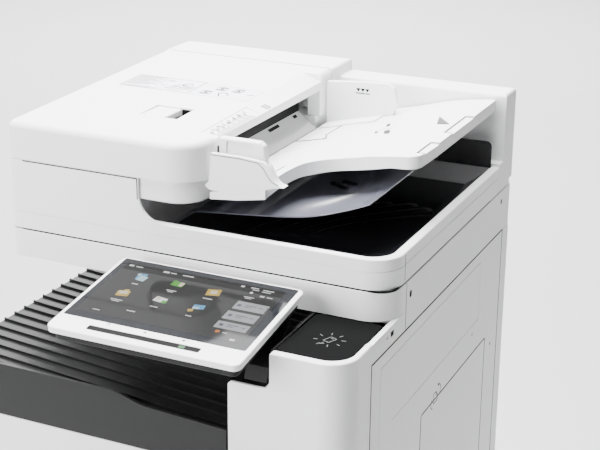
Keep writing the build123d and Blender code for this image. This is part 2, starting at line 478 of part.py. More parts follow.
# ---------------------------------------------------------------- reader
GLASS_X0 = XL + 42.0
GLASS_Y0 = READER_Y + 40.0
with BuildPart() as reader_housing:
    with BuildSketch(Plane.XY.offset(READER_UNDER)) as reader_plan:
        with Locations((0, (READER_Y + YB) / 2)):
            Rectangle(WIDTH, YB - READER_Y)
        fillet(reader_plan.vertices().group_by(Axis.Y)[0].sort_by(Axis.X)[-1], radius=40)
        fillet(reader_plan.vertices().group_by(Axis.Y)[0].sort_by(Axis.X)[0], radius=12)
        fillet(reader_plan.vertices().group_by(Axis.Y)[-1], radius=6)
    extrude(amount=READER_TOP - READER_UNDER)
    fillet(reader_housing.faces().sort_by(Axis.Z)[-1].edges(), radius=1.5)
    # side and rear skirts that hang beside the body frame
    block(XR - SKIN, XR, READER_Y + 53, YB - 6, READER_Z, READER_UNDER)
    block(XL, XL + SKIN, WALL_Y, YB - 6, READER_Z, READER_UNDER)
    block(XL + 6, XR - 6, YB - SKIN, YB, READER_Z, READER_UNDER)
    # room for the carriage, glass seats and openings
    block(XL + 10, XR - 12, READER_Y + 14, YB - 20, READER_UNDER + 4, READER_TOP - 8, mode=Mode.SUBTRACT)
    block(GLASS_X0, GLASS_X0 + GLASS_W, GLASS_Y0, GLASS_Y0 + GLASS_D, READER_TOP - 4.2, READER_TOP + 1,
          mode=Mode.SUBTRACT)
    block(GLASS_X0 + 6, GLASS_X0 + GLASS_W - 6, GLASS_Y0 + 6, GLASS_Y0 + GLASS_D - 6, READER_TOP - 9,
          READER_TOP + 1, mode=Mode.SUBTRACT)
    block(XL + 16, XL + 36, GLASS_Y0, GLASS_Y0 + GLASS_D, READER_TOP - 4.2, READER_TOP + 1,
          mode=Mode.SUBTRACT)
    block(XL + 20, XL + 32, GLASS_Y0 + 6, GLASS_Y0 + GLASS_D - 6, READER_TOP - 9, READER_TOP + 1,
          mode=Mode.SUBTRACT)
    block(XR - 1, XR + 1, READER_Y + 51.8, READER_Y + 53, READER_UNDER + 0.1, READER_TOP + 1,
          mode=Mode.SUBTRACT)
reader_housing.part.label = "reader_housing"
export_step(reader_housing.part, "parts/reader_housing.step")

with BuildPart() as platen_glass:
    block(GLASS_X0 + 0.2, GLASS_X0 + GLASS_W - 0.2, GLASS_Y0 + 0.2, GLASS_Y0 + GLASS_D - 0.2,
          READER_TOP - 4.2, READER_TOP)
    block(XL + 16.2, XL + 35.8, GLASS_Y0 + 0.2, GLASS_Y0 + GLASS_D - 0.2, READER_TOP - 4.2, READER_TOP)
platen_glass.part.label = "platen_glass"
export_step(platen_glass.part, "parts/platen_glass.step")

with BuildPart() as scan_carriage:
    block(XL + 14, XL + 74, READER_Y + 20, YB - 26, READER_UNDER + 5, READER_TOP - 13)
    block(XL + 40, XL + 44, READER_Y + 40, YB - 46, READER_TOP - 15, READER_TOP - 12, mode=Mode.SUBTRACT)
scan_carriage.part.label = "scan_carriage"
export_step(scan_carriage.part, "parts/scan_carriage.step")

with BuildPart() as adf_hinges:
    for hx in (XL + 90, XR - 90):
        rod(hx, HINGE_Y, HINGE_Z, 4.4, 50, "x")
        block(hx - 25, hx + 25, HINGE_Y - 40, HINGE_Y, READER_TOP, READER_TOP + 1.6)
adf_hinges.part.label = "adf_hinges"
export_step(adf_hinges.part, "parts/adf_hinges.step")

# ---------------------------------------------------------------- document feeder
STEP_X = FEEDER_X - 88.0
RECESS_X0 = STEP_X + 4.0
RIM = 9.0
with BuildPart() as adf_base:
    with BuildSketch(Plane.XY.offset(ADF_Z)) as rim_plan:
        with Locations((0, (READER_Y + YB - 68) / 2)):
            Rectangle(WIDTH, YB - 68 - READER_Y)
        fillet(rim_plan.vertices().group_by(Axis.Y)[0].sort_by(Axis.X)[-1], radius=40)
    extrude(amount=RIM_Z - ADF_Z)
    fillet(adf_base.faces().sort_by(Axis.Z)[-1].edges().filter_by(
        lambda e: e.center().Y < YB - 70 and e.center().X > XL + 1), radius=2)
    with BuildSketch(Plane.XY.offset(ADF_Z + 3)) as recess_plan:
        with Locations(((RECESS_X0 + XR - 12) / 2, (READER_Y + RIM + YB - 67) / 2)):
            Rectangle(XR - 12 - RECESS_X0, YB - 67 - READER_Y - RIM)
        fillet(recess_plan.vertices().group_by(Axis.Y)[0].sort_by(Axis.X)[-1], radius=32)
    extrude(amount=RIM_Z, mode=Mode.SUBTRACT)
    block(XL + 6, RECESS_X0 + 1, READER_Y + RIM, YB - 67, ADF_Z + 9, RIM_Z + 1, mode=Mode.SUBTRACT)
    # front wall, higher on the left, with the swept step down to the rim
    along([(XL, RIM_Z - 4), (STEP_X, RIM_Z - 4), (STEP_X, SEAM_Z - 0.6), (XL, SEAM_Z - 0.6)],
          READER_Y, READER_Y + RIM)
    with BuildSketch(Plane.XZ.offset(-(READER_Y + 3.5))):
        with BuildLine():
            Polyline((STEP_X, RIM_Z + 35), (STEP_X, RIM_Z - 3), (STEP_X + 35, RIM_Z - 3), (STEP_X + 35,
                  RIM_Z))
            ThreePointArc((STEP_X + 35, RIM_Z), (STEP_X + 10.25, RIM_Z + 10.25), (STEP_X, RIM_Z + 35))
        make_face()
    extrude(amount=3.5)
    block(XL, XL + 6, READER_Y + RIM, FEEDER_Y - 0.6, RIM_Z - 4, SEAM_Z - 0.6)
    fillet(adf_base.edges().filter_by(Axis.Z).filter_by(
        lambda e: abs(e.center().X - XL) < 0.1 and abs(e.center().Y - READER_Y) < 0.1), radius=12)
    # fine groove under the rim, round the front and the right side
    with BuildSketch(Plane.XY.offset(RIM_Z - 17)):
        with Locations((0, (READER_Y + YB - 68) / 2)):
            Rectangle(WIDTH + 4, YB - 68 - READER_Y + 4)
        with BuildLine():
            Polyline((XR - 40, READER_Y + 1), (XL + 12, READER_Y + 1))
            RadiusArc((XL + 12, READER_Y + 1), (XL + 1, READER_Y + 12), 11)
            Polyline((XL + 1, READER_Y + 12), (XL + 1, YB), (XR - 1, YB), (XR - 1, READER_Y + 40))
            RadiusArc((XR - 1, READER_Y + 40), (XR - 40, READER_Y + 1), 39)
        make_face(mode=Mode.SUBTRACT)
    extrude(amount=1.0, mode=Mode.SUBTRACT)
    block(XR - 1, XR + 1, READER_Y + 44, READER_Y + 45.2, ADF_Z - 1, RIM_Z - 3, mode=Mode.SUBTRACT)
    for hx in (XL + 90, XR - 90):
        block(hx - 26, hx + 26, HINGE_Y - 60, HINGE_Y, ADF_Z - 1, ADF_Z + 0.5, mode=Mode.SUBTRACT)
adf_base.part.label = "adf_base"
export_step(adf_base.part, "parts/adf_base.step")

with BuildPart() as document_output_tray:
    with BuildSketch(Plane.XY.offset(ADF_Z + 3)) as tray_plan:
        with Locations(((RECESS_X0 + XR - 12) / 2, (READER_Y + RIM + YB - 69) / 2)):
            Rectangle(XR - 12.6 - RECESS_X0, YB - 69.6 - READER_Y - RIM)
        fillet(tray_plan.vertices().group_by(Axis.Y)[0].sort_by(Axis.X)[-1], radius=31.6)
    extrude(amount=29)
    with BuildSketch(Plane.XY.offset(ADF_Z + 7)) as floor_plan:
        with Locations(((RECESS_X0 - 60 + XR - 52) / 2, (READER_Y + 96 + YB - 20) / 2)):
            Rectangle(XR - 52 - RECESS_X0 + 60, YB - 20 - READER_Y - 96)
        fillet(floor_plan.vertices().group_by(Axis.Y)[0].sort_by(Axis.X)[-1], radius=45)
    with BuildSketch(Plane.XY.offset(ADF_Z + 33)) as brim_plan:
        with Locations(((RECESS_X0 - 60 + XR - 18) / 2, (READER_Y + 15 + YB - 20) / 2)):
            Rectangle(XR - 18 - RECESS_X0 + 60, YB - 20 - READER_Y - 15)
        fillet(brim_plan.vertices().group_by(Axis.Y)[0].sort_by(Axis.X)[-1], radius=45)
    loft(mode=Mode.SUBTRACT)
document_output_tray.part.label = "document_output_tray"
export_step(document_output_tray.part, "parts/document_output_tray.step")

with BuildPart() as platen_pad:
    slab(GLASS_X0 - 2, GLASS_X0 + GLASS_W + 2, GLASS_Y0 - 2, GLASS_Y0 + GLASS_D + 2, READER_TOP + 0.4,
          ADF_Z, 4)
platen_pad.part.label = "platen_pad"
export_step(platen_pad.part, "parts/platen_pad.step")

FEEDER_UNDER = SEAM_Z - 30.5
with BuildPart() as feeder_body:
    block(XL + 7, RECESS_X0 - 6, READER_Y + RIM + 1, FEEDER_Y - 1, ADF_Z + 9.4, FEEDER_UNDER)
    with BuildSketch(Plane.XY.offset(FEEDER_UNDER)) as feeder_plan:
        with Locations(((STEP_X + 0.5 + FEEDER_X - 7) / 2, (READER_Y + 4 + FEEDER_Y - 1) / 2)):
            Rectangle(FEEDER_X - 7 - STEP_X - 0.5, FEEDER_Y - 1 - READER_Y - 4)
        fillet(feeder_plan.vertices().group_by(Axis.Y)[0].sort_by(Axis.X)[-1], radius=40)
    extrude(amount=SEAM_Z - 1 - FEEDER_UNDER)
    fillet(feeder_body.faces().sort_by(Axis.Y)[0].edges().sort_by(Axis.Z)[0], radius=3)
    block(XL + 7, STEP_X + 1, READER_Y + RIM + 1, FEEDER_Y - 1, FEEDER_UNDER - 1, SEAM_Z - 1)
    block(XL + 10, RECESS_X0 - 9, READER_Y + RIM + 4, FEEDER_Y - 4, ADF_Z + 9, FEEDER_UNDER + 3,
          mode=Mode.SUBTRACT)
    # well for the rollers, and the open inlet towards the feed tray
    block(XL + 70, FEEDER_X - 30, READER_Y + 50, FEEDER_Y - 45, SEAM_Z - 26, SEAM_Z, mode=Mode.SUBTRACT)
    block(FEEDER_X - 31, FEEDER_X, READER_Y + 58, FEEDER_Y - 45, SEAM_Z - 18, SEAM_Z, mode=Mode.SUBTRACT)
feeder_body.part.label = "feeder_body"
export_step(feeder_body.part, "parts/feeder_body.step")

ROLLER_X = FEEDER_X - 60.0
ROLLER_Z = SEAM_Z - 8.0
with BuildPart() as feed_roller:
    rod(ROLLER_X, (READER_Y + FEEDER_Y) / 2 + 2, ROLLER_Z, 4, FEEDER_Y - READER_Y - 104, "y")
    for ry in (-55, 55):
        rod(ROLLER_X, (READER_Y + FEEDER_Y) / 2 + ry, ROLLER_Z, 15, 42, "y")
feed_roller.part.label = "feed_roller"
export_step(feed_roller.part, "parts/feed_roller.step")

CREASE_X = FEEDER_X - 30.0
LIP_Y0 = READER_Y + 52.0
LIP_Y1 = FEEDER_Y - 39.0
COVER_HX = XL + 6.5        # pin line of the feeder cover
COVER_HZ = SEAM_Z + 6.5
with BuildPart() as feeder_cover:
    with BuildSketch(Plane.XY.offset(SEAM_Z)) as cover_plan:
        with Locations(((XL + FEEDER_X) / 2, (READER_Y + FEEDER_Y - DOOR_SEAM) / 2)):
            Rectangle(FEEDER_X - XL, FEEDER_Y - DOOR_SEAM - READER_Y)
        fillet(cover_plan.vertices().group_by(Axis.Y)[0].sort_by(Axis.X)[-1], radius=50)
        fillet(cover_plan.vertices().group_by(Axis.Y)[0].sort_by(Axis.X)[0], radius=12)
    extrude(amount=HEIGHT - SEAM_Z)
    across([(READER_Y - 1, HEIGHT - 13), (FEEDER_Y + 1, HEIGHT), (FEEDER_Y + 1, HEIGHT + 9),
            (READER_Y - 1, HEIGHT + 9)], XL - 1, FEEDER_X + 1, mode=Mode.SUBTRACT)
    rim_edges = feeder_cover.faces().sort_by(Axis.Z)[-1].edges().filter_by(
        lambda e: e.center().Y < READER_Y + 30 and e.center().X < FEEDER_X - 5)
    fillet(rim_edges, radius=9)
    # bevel that carries the size scale, from the crease down to the level inlet lip
    for lip_y, crease_z, lip_z in ((LIP_Y0, HEIGHT - 11.4, HEIGHT - 15), (LIP_Y1, HEIGHT - 1.2,
          HEIGHT - 12.6)):
        with BuildSketch(Plane.XZ.offset(-lip_y)):
            with BuildLine():
                Polyline((CREASE_X, crease_z), (FEEDER_X + 1, lip_z), (FEEDER_X + 1, HEIGHT + 3),
                      (CREASE_X, HEIGHT + 3),
                         close=True)
            make_face()
    loft(ruled=True, mode=Mode.SUBTRACT)
    # hollow underneath, inlet on the right, hole for the release lever
    with BuildSketch(Plane.XY.offset(SEAM_Z - 1)) as cover_room:
        with Locations(((XL + 4 + FEEDER_X - 20) / 2, (READER_Y + 6 + FEEDER_Y - 5) / 2)):
            Rectangle(FEEDER_X - 24 - XL, FEEDER_Y - 5 - READER_Y - 6)
        fillet(cover_room.vertices().group_by(Axis.Y)[0].sort_by(Axis.X)[-1], radius=36)
        fillet(cover_room.vertices().group_by(Axis.Y)[0].sort_by(Axis.X)[0], radius=9)
    extrude(amount=45, mode=Mode.SUBTRACT)
    block(FEEDER_X - 21, FEEDER_X + 1, LIP_Y0 + 4, LIP_Y1 - 4, SEAM_Z - 1, SEAM_Z + 40, mode=Mode.SUBTRACT)
    block(XR - 414.5, XR - 355.5, READER_Y + 99.5, READER_Y + 149.5, SEAM_Z + 40, HEIGHT + 1,
          mode=Mode.SUBTRACT)
    # lower left edge turned about the pin line, so the cover swings clear of the feeder
    with BuildSketch(Plane.XZ.offset(-(FEEDER_Y + 1))):
        with Locations(((XL - 2 + COVER_HX) / 2, (SEAM_Z - 2 + COVER_HZ) / 2)):
            Rectangle(COVER_HX - XL + 2, COVER_HZ - SEAM_Z + 2)
        with Locations((COVER_HX, COVER_HZ)):
            Circle(6.4, mode=Mode.SUBTRACT)
    extrude(amount=FEEDER_Y - READER_Y + 2, mode=Mode.SUBTRACT)
feeder_cover.part.label = "feeder_cover"
export_step(feeder_cover.part, "parts/feeder_cover.step")

with BuildPart() as release_lever:
    block(XR - 413.5, XR - 375.5, READER_Y + 100.5, READER_Y + 148.5, SEAM_Z + 47, HEIGHT - 10)
    fillet(release_lever.faces().sort_by(Axis.Z)[-1].edges(), radius=2)
release_lever.part.label = "release_lever"
export_step(release_lever.part, "parts/release_lever.step")

HOUSE_X = XR - 269.5
with BuildPart() as rear_housing:
    block(HOUSE_X - 1, XR, REAR_Y, YB, RIM_Z, HEIGHT - 17)
    fillet(rear_housing.edges().filter_by(lambda e: e.center().Z > HEIGHT - 18 and e.center().X > HOUSE_X),
          radius=5)
    with BuildSketch(Plane.XY.offset(RIM_Z)) as raised_plan:
        with Locations(((XL + HOUSE_X) / 2, (FEEDER_Y + YB) / 2)):
            Rectangle(HOUSE_X - XL, YB - FEEDER_Y)
        fillet(raised_plan.vertices().group_by(Axis.Y)[-1].sort_by(Axis.X)[0], radius=10)
    extrude(amount=HEIGHT - RIM_Z)
    fillet(rear_housing.edges().filter_by(
        lambda e: e.center().Z > HEIGHT - 0.1 and (e.center().Y > YB - 5 or e.center().X > HOUSE_X - 1)),
        radius=5)
    block(XL, XR, YB - 67.5, YB - 12, ADF_Z, RIM_Z + 4)
    block(XL, XR, YB - 13, YB, ADF_Z + 8, RIM_Z + 4)
    block(XL + 4, XR - 4, REAR_Y + 4, YB - 14, ADF_Z - 1, HEIGHT - 22, mode=Mode.SUBTRACT)
    for hx in (XL + 90, XR - 90):
        block(hx - 26, hx + 26, HINGE_Y - 60, YB - 12.5, ADF_Z - 1, ADF_Z + 0.5, mode=Mode.SUBTRACT)
        rod(hx, HINGE_Y, HINGE_Z, 5.5, 54, "x", mode=Mode.SUBTRACT)
rear_housing.part.label = "rear_housing"
export_step(rear_housing.part, "parts/rear_housing.step")

# ---------------------------------------------------------------- feed tray and its guides
TX0 = FEEDER_X + 2.0
TY0 = READER_Y + 31.0
TY1 = YB - 53.0
TX1 = XR - 15.0
FEED_TOP = [(TX0, -81), (TX0 + 26, -75), (TX0 + 56, -67), (TX0 + 92, -58.5), (TX0 + 132, -49), (TX0 + 182,
      -35),
            (TX0 + 216, -29), (TX0 + 240, -26), (TX1, -25)]


def feed_height(x):
    """Height of the feed tray's sheet face, straight between the listed points."""
    for (xa, ha), (xb, hb) in zip(FEED_TOP, FEED_TOP[1:]):
        if x <= xb:
            return HEIGHT + ha + (hb - ha) * (x - xa) / (xb - xa)
    return HEIGHT + FEED_TOP[-1][1]


# raised wall beside the front guide, thick and rounded at its foot
with BuildPart() as guide_wall:
    with BuildSketch(Plane.XZ.offset(-(TY0 + 14))):
        with BuildLine():
            Polyline((TX0 + 2, HEIGHT - 27), (TX0 - 1, HEIGHT - 60))
            Spline((TX0 - 1, HEIGHT - 60), (TX0 - 6.5, HEIGHT - 71), (TX0 + 4, HEIGHT - 77.5),
                  tangents=((0, -1), (1, 0)))
            Spline((TX0 + 4, HEIGHT - 77.5), (TX0 + 44, HEIGHT - 76), (TX0 + 70, HEIGHT - 70), (TX0 + 106,
                  HEIGHT - 60),
                   tangents=((1, 0), (1, 0.1)))
            Spline((TX0 + 106, HEIGHT - 60), (TX0 + 91, HEIGHT - 50), (TX0 + 76, HEIGHT - 29.5),
                   tangents=((-1, 0.1), (-1, 0.35)))
            Polyline((TX0 + 76, HEIGHT - 29.5), (TX0 + 44, HEIGHT - 27), (TX0 + 2, HEIGHT - 27))
        make_face()
    extrude(amount=14)
with BuildPart() as feed_tray:
    upper = [(x, HEIGHT + h) for x, h in FEED_TOP]
    along(upper + [(TX1, HEIGHT - 42), (TX1 - 40, HEIGHT - 45), (TX0 + 182, HEIGHT - 53), (TX0 + 132,
          HEIGHT - 66),
                   (TX0 + 92, HEIGHT - 77), (TX0 + 40, HEIGHT - 86), (TX0, HEIGHT - 90)], TY0, TY1)
    # tab pockets on the right edge
    for py, length in ((TY0 + 223, 93), (TY0 + 116, 54)):
        block(TX1 - 12, TX1 + 5, py, py + length, HEIGHT - 27.0, HEIGHT - 20, mode=Mode.SUBTRACT)
    with BuildSketch(Plane.XY.offset(HEIGHT - 120)) as leaf:
        with BuildLine():
            Polyline((TX0 + 80, TY0), (TX0, TY0), (TX0, TY1), (TX1, TY1), (TX1, TY0 + 158), (TX1 - 2,
                  TY0 + 112))
            ThreePointArc((TX1 - 2, TY0 + 112), (TX1 - 6.5, TY0 + 100), (TX1 - 18, TY0 + 95))
            Spline((TX1 - 18, TY0 + 95), (TX0 + 156, TY0 + 109), (TX0 + 112, TY0 + 119), (TX0 + 88,
                  TY0 + 112),
                   (TX0 + 76, TY0 + 76), (TX0 + 80, TY0), tangents=((-1, 0.05), (0.15, -1)))
        make_face()
    extrude(amount=110, mode=Mode.INTERSECT)
    add(guide_wall.part)
    along([(TX0 - 1, feed_height(TX0) + 0.5)] + [(TX0 + i * 11,
          feed_height(TX0 + i * 11)) for i in range(1, 8)]
          + [(TX0 + 84, HEIGHT - 20), (TX0 - 1, HEIGHT - 20)], TY0 + 5, TY0 + 15, mode=Mode.SUBTRACT)
feed_tray.part.label = "feed_tray"
export_step(feed_tray.part, "parts/feed_tray.step")

GX0 = TX0 + 2.5
with BuildPart() as front_guide:
    feet = [(GX0 + i * 8, feed_height(GX0 + i * 8) + 0.5) for i in range(10)]
    along([(GX0, HEIGHT - 10.5), (GX0 + 60, HEIGHT - 10.5), (GX0 + 66, HEIGHT - 15)] + list(reversed(feet)),
          TY0 + 20, TY0 + 29)
    fillet(front_guide.edges().filter_by(Axis.Y).filter_by(lambda e: e.center().Z > HEIGHT - 18), radius=4)
    fillet(front_guide.faces().sort_by(Axis.Y)[0].edges().filter_by(lambda e: e.center().Z > HEIGHT - 12),
          radius=3)
    # grip recess and the foot that slides under the sheets
    with BuildSketch(Plane.XZ.offset(-(TY0 + 22.5))):
        with Locations((GX0 + 32, HEIGHT - 24)):
            RectangleRounded(42, 20, 4)
    extrude(amount=4, mode=Mode.SUBTRACT)
    along([(GX0 + 2, feed_height(GX0 + 2) + 0.5), (GX0 + 40, feed_height(GX0 + 40) + 0.5),
           (GX0 + 40, feed_height(GX0 + 40) + 2.5), (GX0 + 2, feed_height(GX0 + 2) + 2.5)], TY0 + 29,
           TY0 + 64)
front_guide.part.label = "front_guide"
export_step(front_guide.part, "parts/front_guide.step")

with BuildPart() as rear_guide:
    feet = [(GX0 + i * 12, feed_height(GX0 + i * 12) + 0.5) for i in range(10)]
    along([(GX0, HEIGHT - 14), (GX0 + 60, HEIGHT - 9), (GX0 + 98, HEIGHT - 8), (GX0 + 108, HEIGHT - 13),
           (GX0 + 113, HEIGHT - 36)] + list(reversed(feet)), TY1 - 51, TY1 - 42)
    fillet(rear_guide.edges().filter_by(Axis.Y).filter_by(
        lambda e: e.center().X > GX0 + 80 and e.center().Z > HEIGHT - 40), radius=2.5)
    along([(GX0 + 2, feed_height(GX0 + 2) + 0.5), (GX0 + 92, feed_height(GX0 + 92) + 0.5),
           (GX0 + 92, feed_height(GX0 + 92) + 2.5), (GX0 + 2, feed_height(GX0 + 2) + 2.5)], TY1 - 86,
           TY1 - 51)
rear_guide.part.label = "rear_guide"
export_step(rear_guide.part, "parts/rear_guide.step")

SHEET_TOP = [(TX0 - 44, -124.5), (TX0 + 14, -119), (TX0 + 56, -115), (TX0 + 104, -109.5), (TX0 + 134, -103.5),
             (TX0 + 161, -95), (TX0 + 186, -86), (TX0 + 210, -76)]
with BuildPart() as output_guide_sheet:
    with BuildSketch(Plane.XZ.offset(-(TY1 - 60))):
        with BuildLine():
            Spline(*[(x, HEIGHT + h) for x, h in SHEET_TOP])
            Line((TX0 + 210, HEIGHT - 76), (TX0 + 210, HEIGHT - 77.5))
            Spline(*[(x, HEIGHT + h - 1.5) for x, h in reversed(SHEET_TOP)])
            Line((TX0 - 44, HEIGHT - 126), (TX0 - 44, HEIGHT - 124.5))
        make_face()
    extrude(amount=TY1 - 60 - TY0 - 36)
output_guide_sheet.part.label = "output_guide_sheet"
export_step(output_guide_sheet.part, "parts/output_guide_sheet.step")

# ---------------------------------------------------------------- touch panel
PANEL_X0 = XR - 369.5
PANEL_CX = PANEL_X0 + PANEL_W / 2
TILT = math.radians(PANEL_TILT)
NEAR_Z = HEIGHT - 195.0


def panel_plane(depth):
    """Plane parallel to the panel face, a depth below it; +y runs from the near edge to the far edge."""
    origin = (PANEL_CX, YF - PANEL_REACH + depth * math.sin(TILT), NEAR_Z - depth * math.cos(TILT))
    return Plane(origin=origin, x_dir=(1, 0, 0), z_dir=(0, -math.sin(TILT), math.cos(TILT)))


with BuildPart() as panel_shell:
    with BuildSketch(panel_plane(9)):
        with Locations((0, PANEL_L / 2)):
            RectangleRounded(PANEL_W, PANEL_L, 10)
    extrude(amount=9)
    rim = panel_shell.faces().sort_by(Axis.Z)[-1].edges()
    fillet(rim, radius=1.6)
    with BuildSketch(panel_plane(2.5)):
        with Locations((-1, 107.8)):
            RectangleRounded(251, 150.5, 3)
    extrude(amount=5, mode=Mode.SUBTRACT)
    with BuildSketch(panel_plane(1)):
        with Locations((-3, 15.8)):
            RectangleRounded(154, 10, 1.5)
    extrude(amount=5, mode=Mode.SUBTRACT)
panel_shell.part.label = "panel_shell"
export_step(panel_shell.part, "parts/panel_shell.step")

with BuildPart() as panel_glass:
    with BuildSketch(panel_plane(2.5)):
        with Locations((-1, 107.8)):
            RectangleRounded(250.4, 149.9, 2.8)
    extrude(amount=2.3)
panel_glass.part.label = "panel_glass"
export_step(panel_glass.part, "parts/panel_glass.step")

with BuildPart() as panel_back:
    with BuildSketch(panel_plane(21)):
        with Locations((0, PANEL_L / 2)):
            RectangleRounded(PANEL_W - 12, PANEL_L - 12, 8)
    extrude(amount=12)
    fillet(panel_back.faces().sort_by(Axis.Z)[0].edges(), radius=3)
panel_back.part.label = "panel_back"
export_step(panel_back.part, "parts/panel_back.step")

ARM_X1 = PAD_X0 - 12.0
with BuildPart() as panel_arm:
    across([(SPLIT_Y - 62, NOTCH_Z + 0.2), (SPLIT_Y - 4, NOTCH_Z + 0.2), (SPLIT_Y + 2, NOTCH_Z + 24),
            (SPLIT_Y + 12, NOTCH_Z + 46), (SPLIT_Y + 8, NOTCH_Z + 51), (SPLIT_Y - 4, NOTCH_Z + 49),
            (SPLIT_Y - 20, NOTCH_Z + 36), (SPLIT_Y - 56, NOTCH_Z + 18)], ARM_X1 - 30, ARM_X1)
    # cheek that closes the left side of the pillar beside the card pad
    block(PAD_X0 - 5.5, PAD_X0 - 3.2, YF + 11, YF + 82, NOTCH_Z + 5.5, PILLAR_TOP - 1)
    block(ARM_X1 - 1, PAD_X0 - 5, SPLIT_Y - 40, SPLIT_Y - 20, NOTCH_Z + 10, NOTCH_Z + 24)
panel_arm.part.label = "panel_arm"
export_step(panel_arm.part, "parts/panel_arm.step")
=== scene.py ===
"""Office photocopier: finishes, printed marks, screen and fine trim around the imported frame.

Metres, +Z up, the front faces -Y. Every added piece is a surface worked out with numpy.
"""
import json
import math

import bpy
import numpy as np
from mathutils import Matrix, Vector


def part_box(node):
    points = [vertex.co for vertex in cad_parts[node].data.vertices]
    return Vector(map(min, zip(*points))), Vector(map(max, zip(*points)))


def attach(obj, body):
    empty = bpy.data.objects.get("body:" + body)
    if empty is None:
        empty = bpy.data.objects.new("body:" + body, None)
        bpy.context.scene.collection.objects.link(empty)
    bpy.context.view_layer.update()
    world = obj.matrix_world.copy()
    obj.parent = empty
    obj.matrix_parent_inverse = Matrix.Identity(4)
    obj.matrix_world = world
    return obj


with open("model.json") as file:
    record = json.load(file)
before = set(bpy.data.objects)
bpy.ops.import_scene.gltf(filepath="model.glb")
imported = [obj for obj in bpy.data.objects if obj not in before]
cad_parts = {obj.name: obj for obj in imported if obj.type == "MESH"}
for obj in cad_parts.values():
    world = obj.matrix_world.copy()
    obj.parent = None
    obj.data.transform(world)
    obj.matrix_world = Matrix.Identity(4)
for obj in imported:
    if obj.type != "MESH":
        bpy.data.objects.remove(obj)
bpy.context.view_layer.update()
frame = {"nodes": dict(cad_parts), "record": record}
MM = 0.001


def span(node):
    """Lowest and highest corner of a CAD node, in millimetres."""
    low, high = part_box(node)
    return np.array(low) / MM, np.array(high) / MM


# ------------------------------------------------------------------ finishes
class Val:
    """A number that varies over a surface. Arithmetic on it adds Math nodes."""

    def __init__(self, finish, socket):
        self.finish, self.socket = finish, socket

    def _sum(self, kind, a, b):
        return self.finish.node("ShaderNodeMath", {"operation": kind}, {0: a, 1: b})

    def __add__(self, other):
        return self._sum("ADD", self, other)

    def __radd__(self, other):
        return self._sum("ADD", other, self)

    def __sub__(self, other):
        return self._sum("SUBTRACT", self, other)

    def __rsub__(self, other):
        return self._sum("SUBTRACT", other, self)

    def __mul__(self, other):
        return self._sum("MULTIPLY", self, other)

    def __rmul__(self, other):
        return self._sum("MULTIPLY", other, self)

    def __truediv__(self, other):
        return self._sum("DIVIDE", self, other)

    def __rtruediv__(self, other):
        return self._sum("DIVIDE", other, self)

    def __pow__(self, other):
        return self._sum("POWER", self, other)


class Finish:
    """One material: a Principled shader and the nodes that feed it."""

    def __init__(self, name, rough=0.5, metallic=0.0, coat=0.0, coat_rough=0.05, specular=0.5):
        self.mat = bpy.data.materials.new(name)
        self.mat.use_nodes = True
        self.tree = self.mat.node_tree
        self.shader = self.tree.nodes["Principled BSDF"]
        for key, value in (("Roughness", rough), ("Metallic", metallic), ("Coat Weight", coat),
                           ("Coat Roughness", coat_rough), ("Specular IOR Level", specular)):
            self.shader.inputs[key].default_value = value
        self.place = self.node("ShaderNodeTexCoord", {}, {}, "Object")

    def node(self, kind, settings, sockets, out=0):
        """Add a node of a type: its settings first, then the values or links of its sockets."""
        made = self.tree.nodes.new(kind)
        for key, value in settings.items():
            if key == "stops":
                ramp = made.color_ramp
                while len(ramp.elements) < len(value):
                    ramp.elements.new(0.5)
                for stop, (at, level) in zip(ramp.elements, value):
                    stop.position = at
                    stop.color = (tuple(level) + (1,) if hasattr(level, "__len__")
                                  else (level, level, level, 1))
            else:
                setattr(made, key, value)
        for key, value in sockets.items():
            if isinstance(value, Val):
                self.tree.links.new(value.socket, made.inputs[key])
            else:
                made.inputs[key].default_value = value
        return Val(self, made.outputs[out])

    def feed(self, **sockets):
        """Link values or fixed numbers to the shader's sockets; underscores stand for spaces."""
        for key, value in sockets.items():
            target = self.shader.inputs[key.replace("_", " ")]
            if isinstance(value, Val):
                self.tree.links.new(value.socket, target)
            else:
                target.default_value = value
        return self

    def noise(self, scale, detail=2.0, stretch=(1, 1, 1)):
        """Smooth noise from 0 to 1; scale is in waves per metre, stretch squeezes it along an axis."""
        at = self.node("ShaderNodeMapping", {}, {"Vector": self.place, "Scale": stretch})
        return self.node("ShaderNodeTexNoise", {}, {"Vector": at, "Scale": scale, "Detail": detail}, "Fac")

    def axis(self, name):
        """One Object coordinate, in metres."""
        return self.node("ShaderNodeSeparateXYZ", {}, {0: self.place}, name)

    def mix(self, mask, low, high):
        """Colour that goes from low to high with a mask."""
        low, high = (c if isinstance(c, Val) else tuple(c) + (1,) for c in (low, high))
        made = self.tree.nodes.new("ShaderNodeMix")
        made.data_type = "RGBA"
        for slot, value in ((0, mask), (6, low), (7, high)):
            if isinstance(value, Val):
                self.tree.links.new(value.socket, made.inputs[slot])
            else:
                made.inputs[slot].default_value = value
        return Val(self, made.outputs[2])

    def bump(self, height, depth, strength=0.5):
        """Fine relief in the surface; depth in metres."""
        relief = self.node("ShaderNodeBump", {}, {"Strength": strength, "Distance": depth, "Height": height})
        return self.feed(Normal=relief)


def grey(level, warm=0.0):
    """Neutral colour, a little warmer or cooler."""
    return (level * (1 + warm), level, level * (1 - warm))


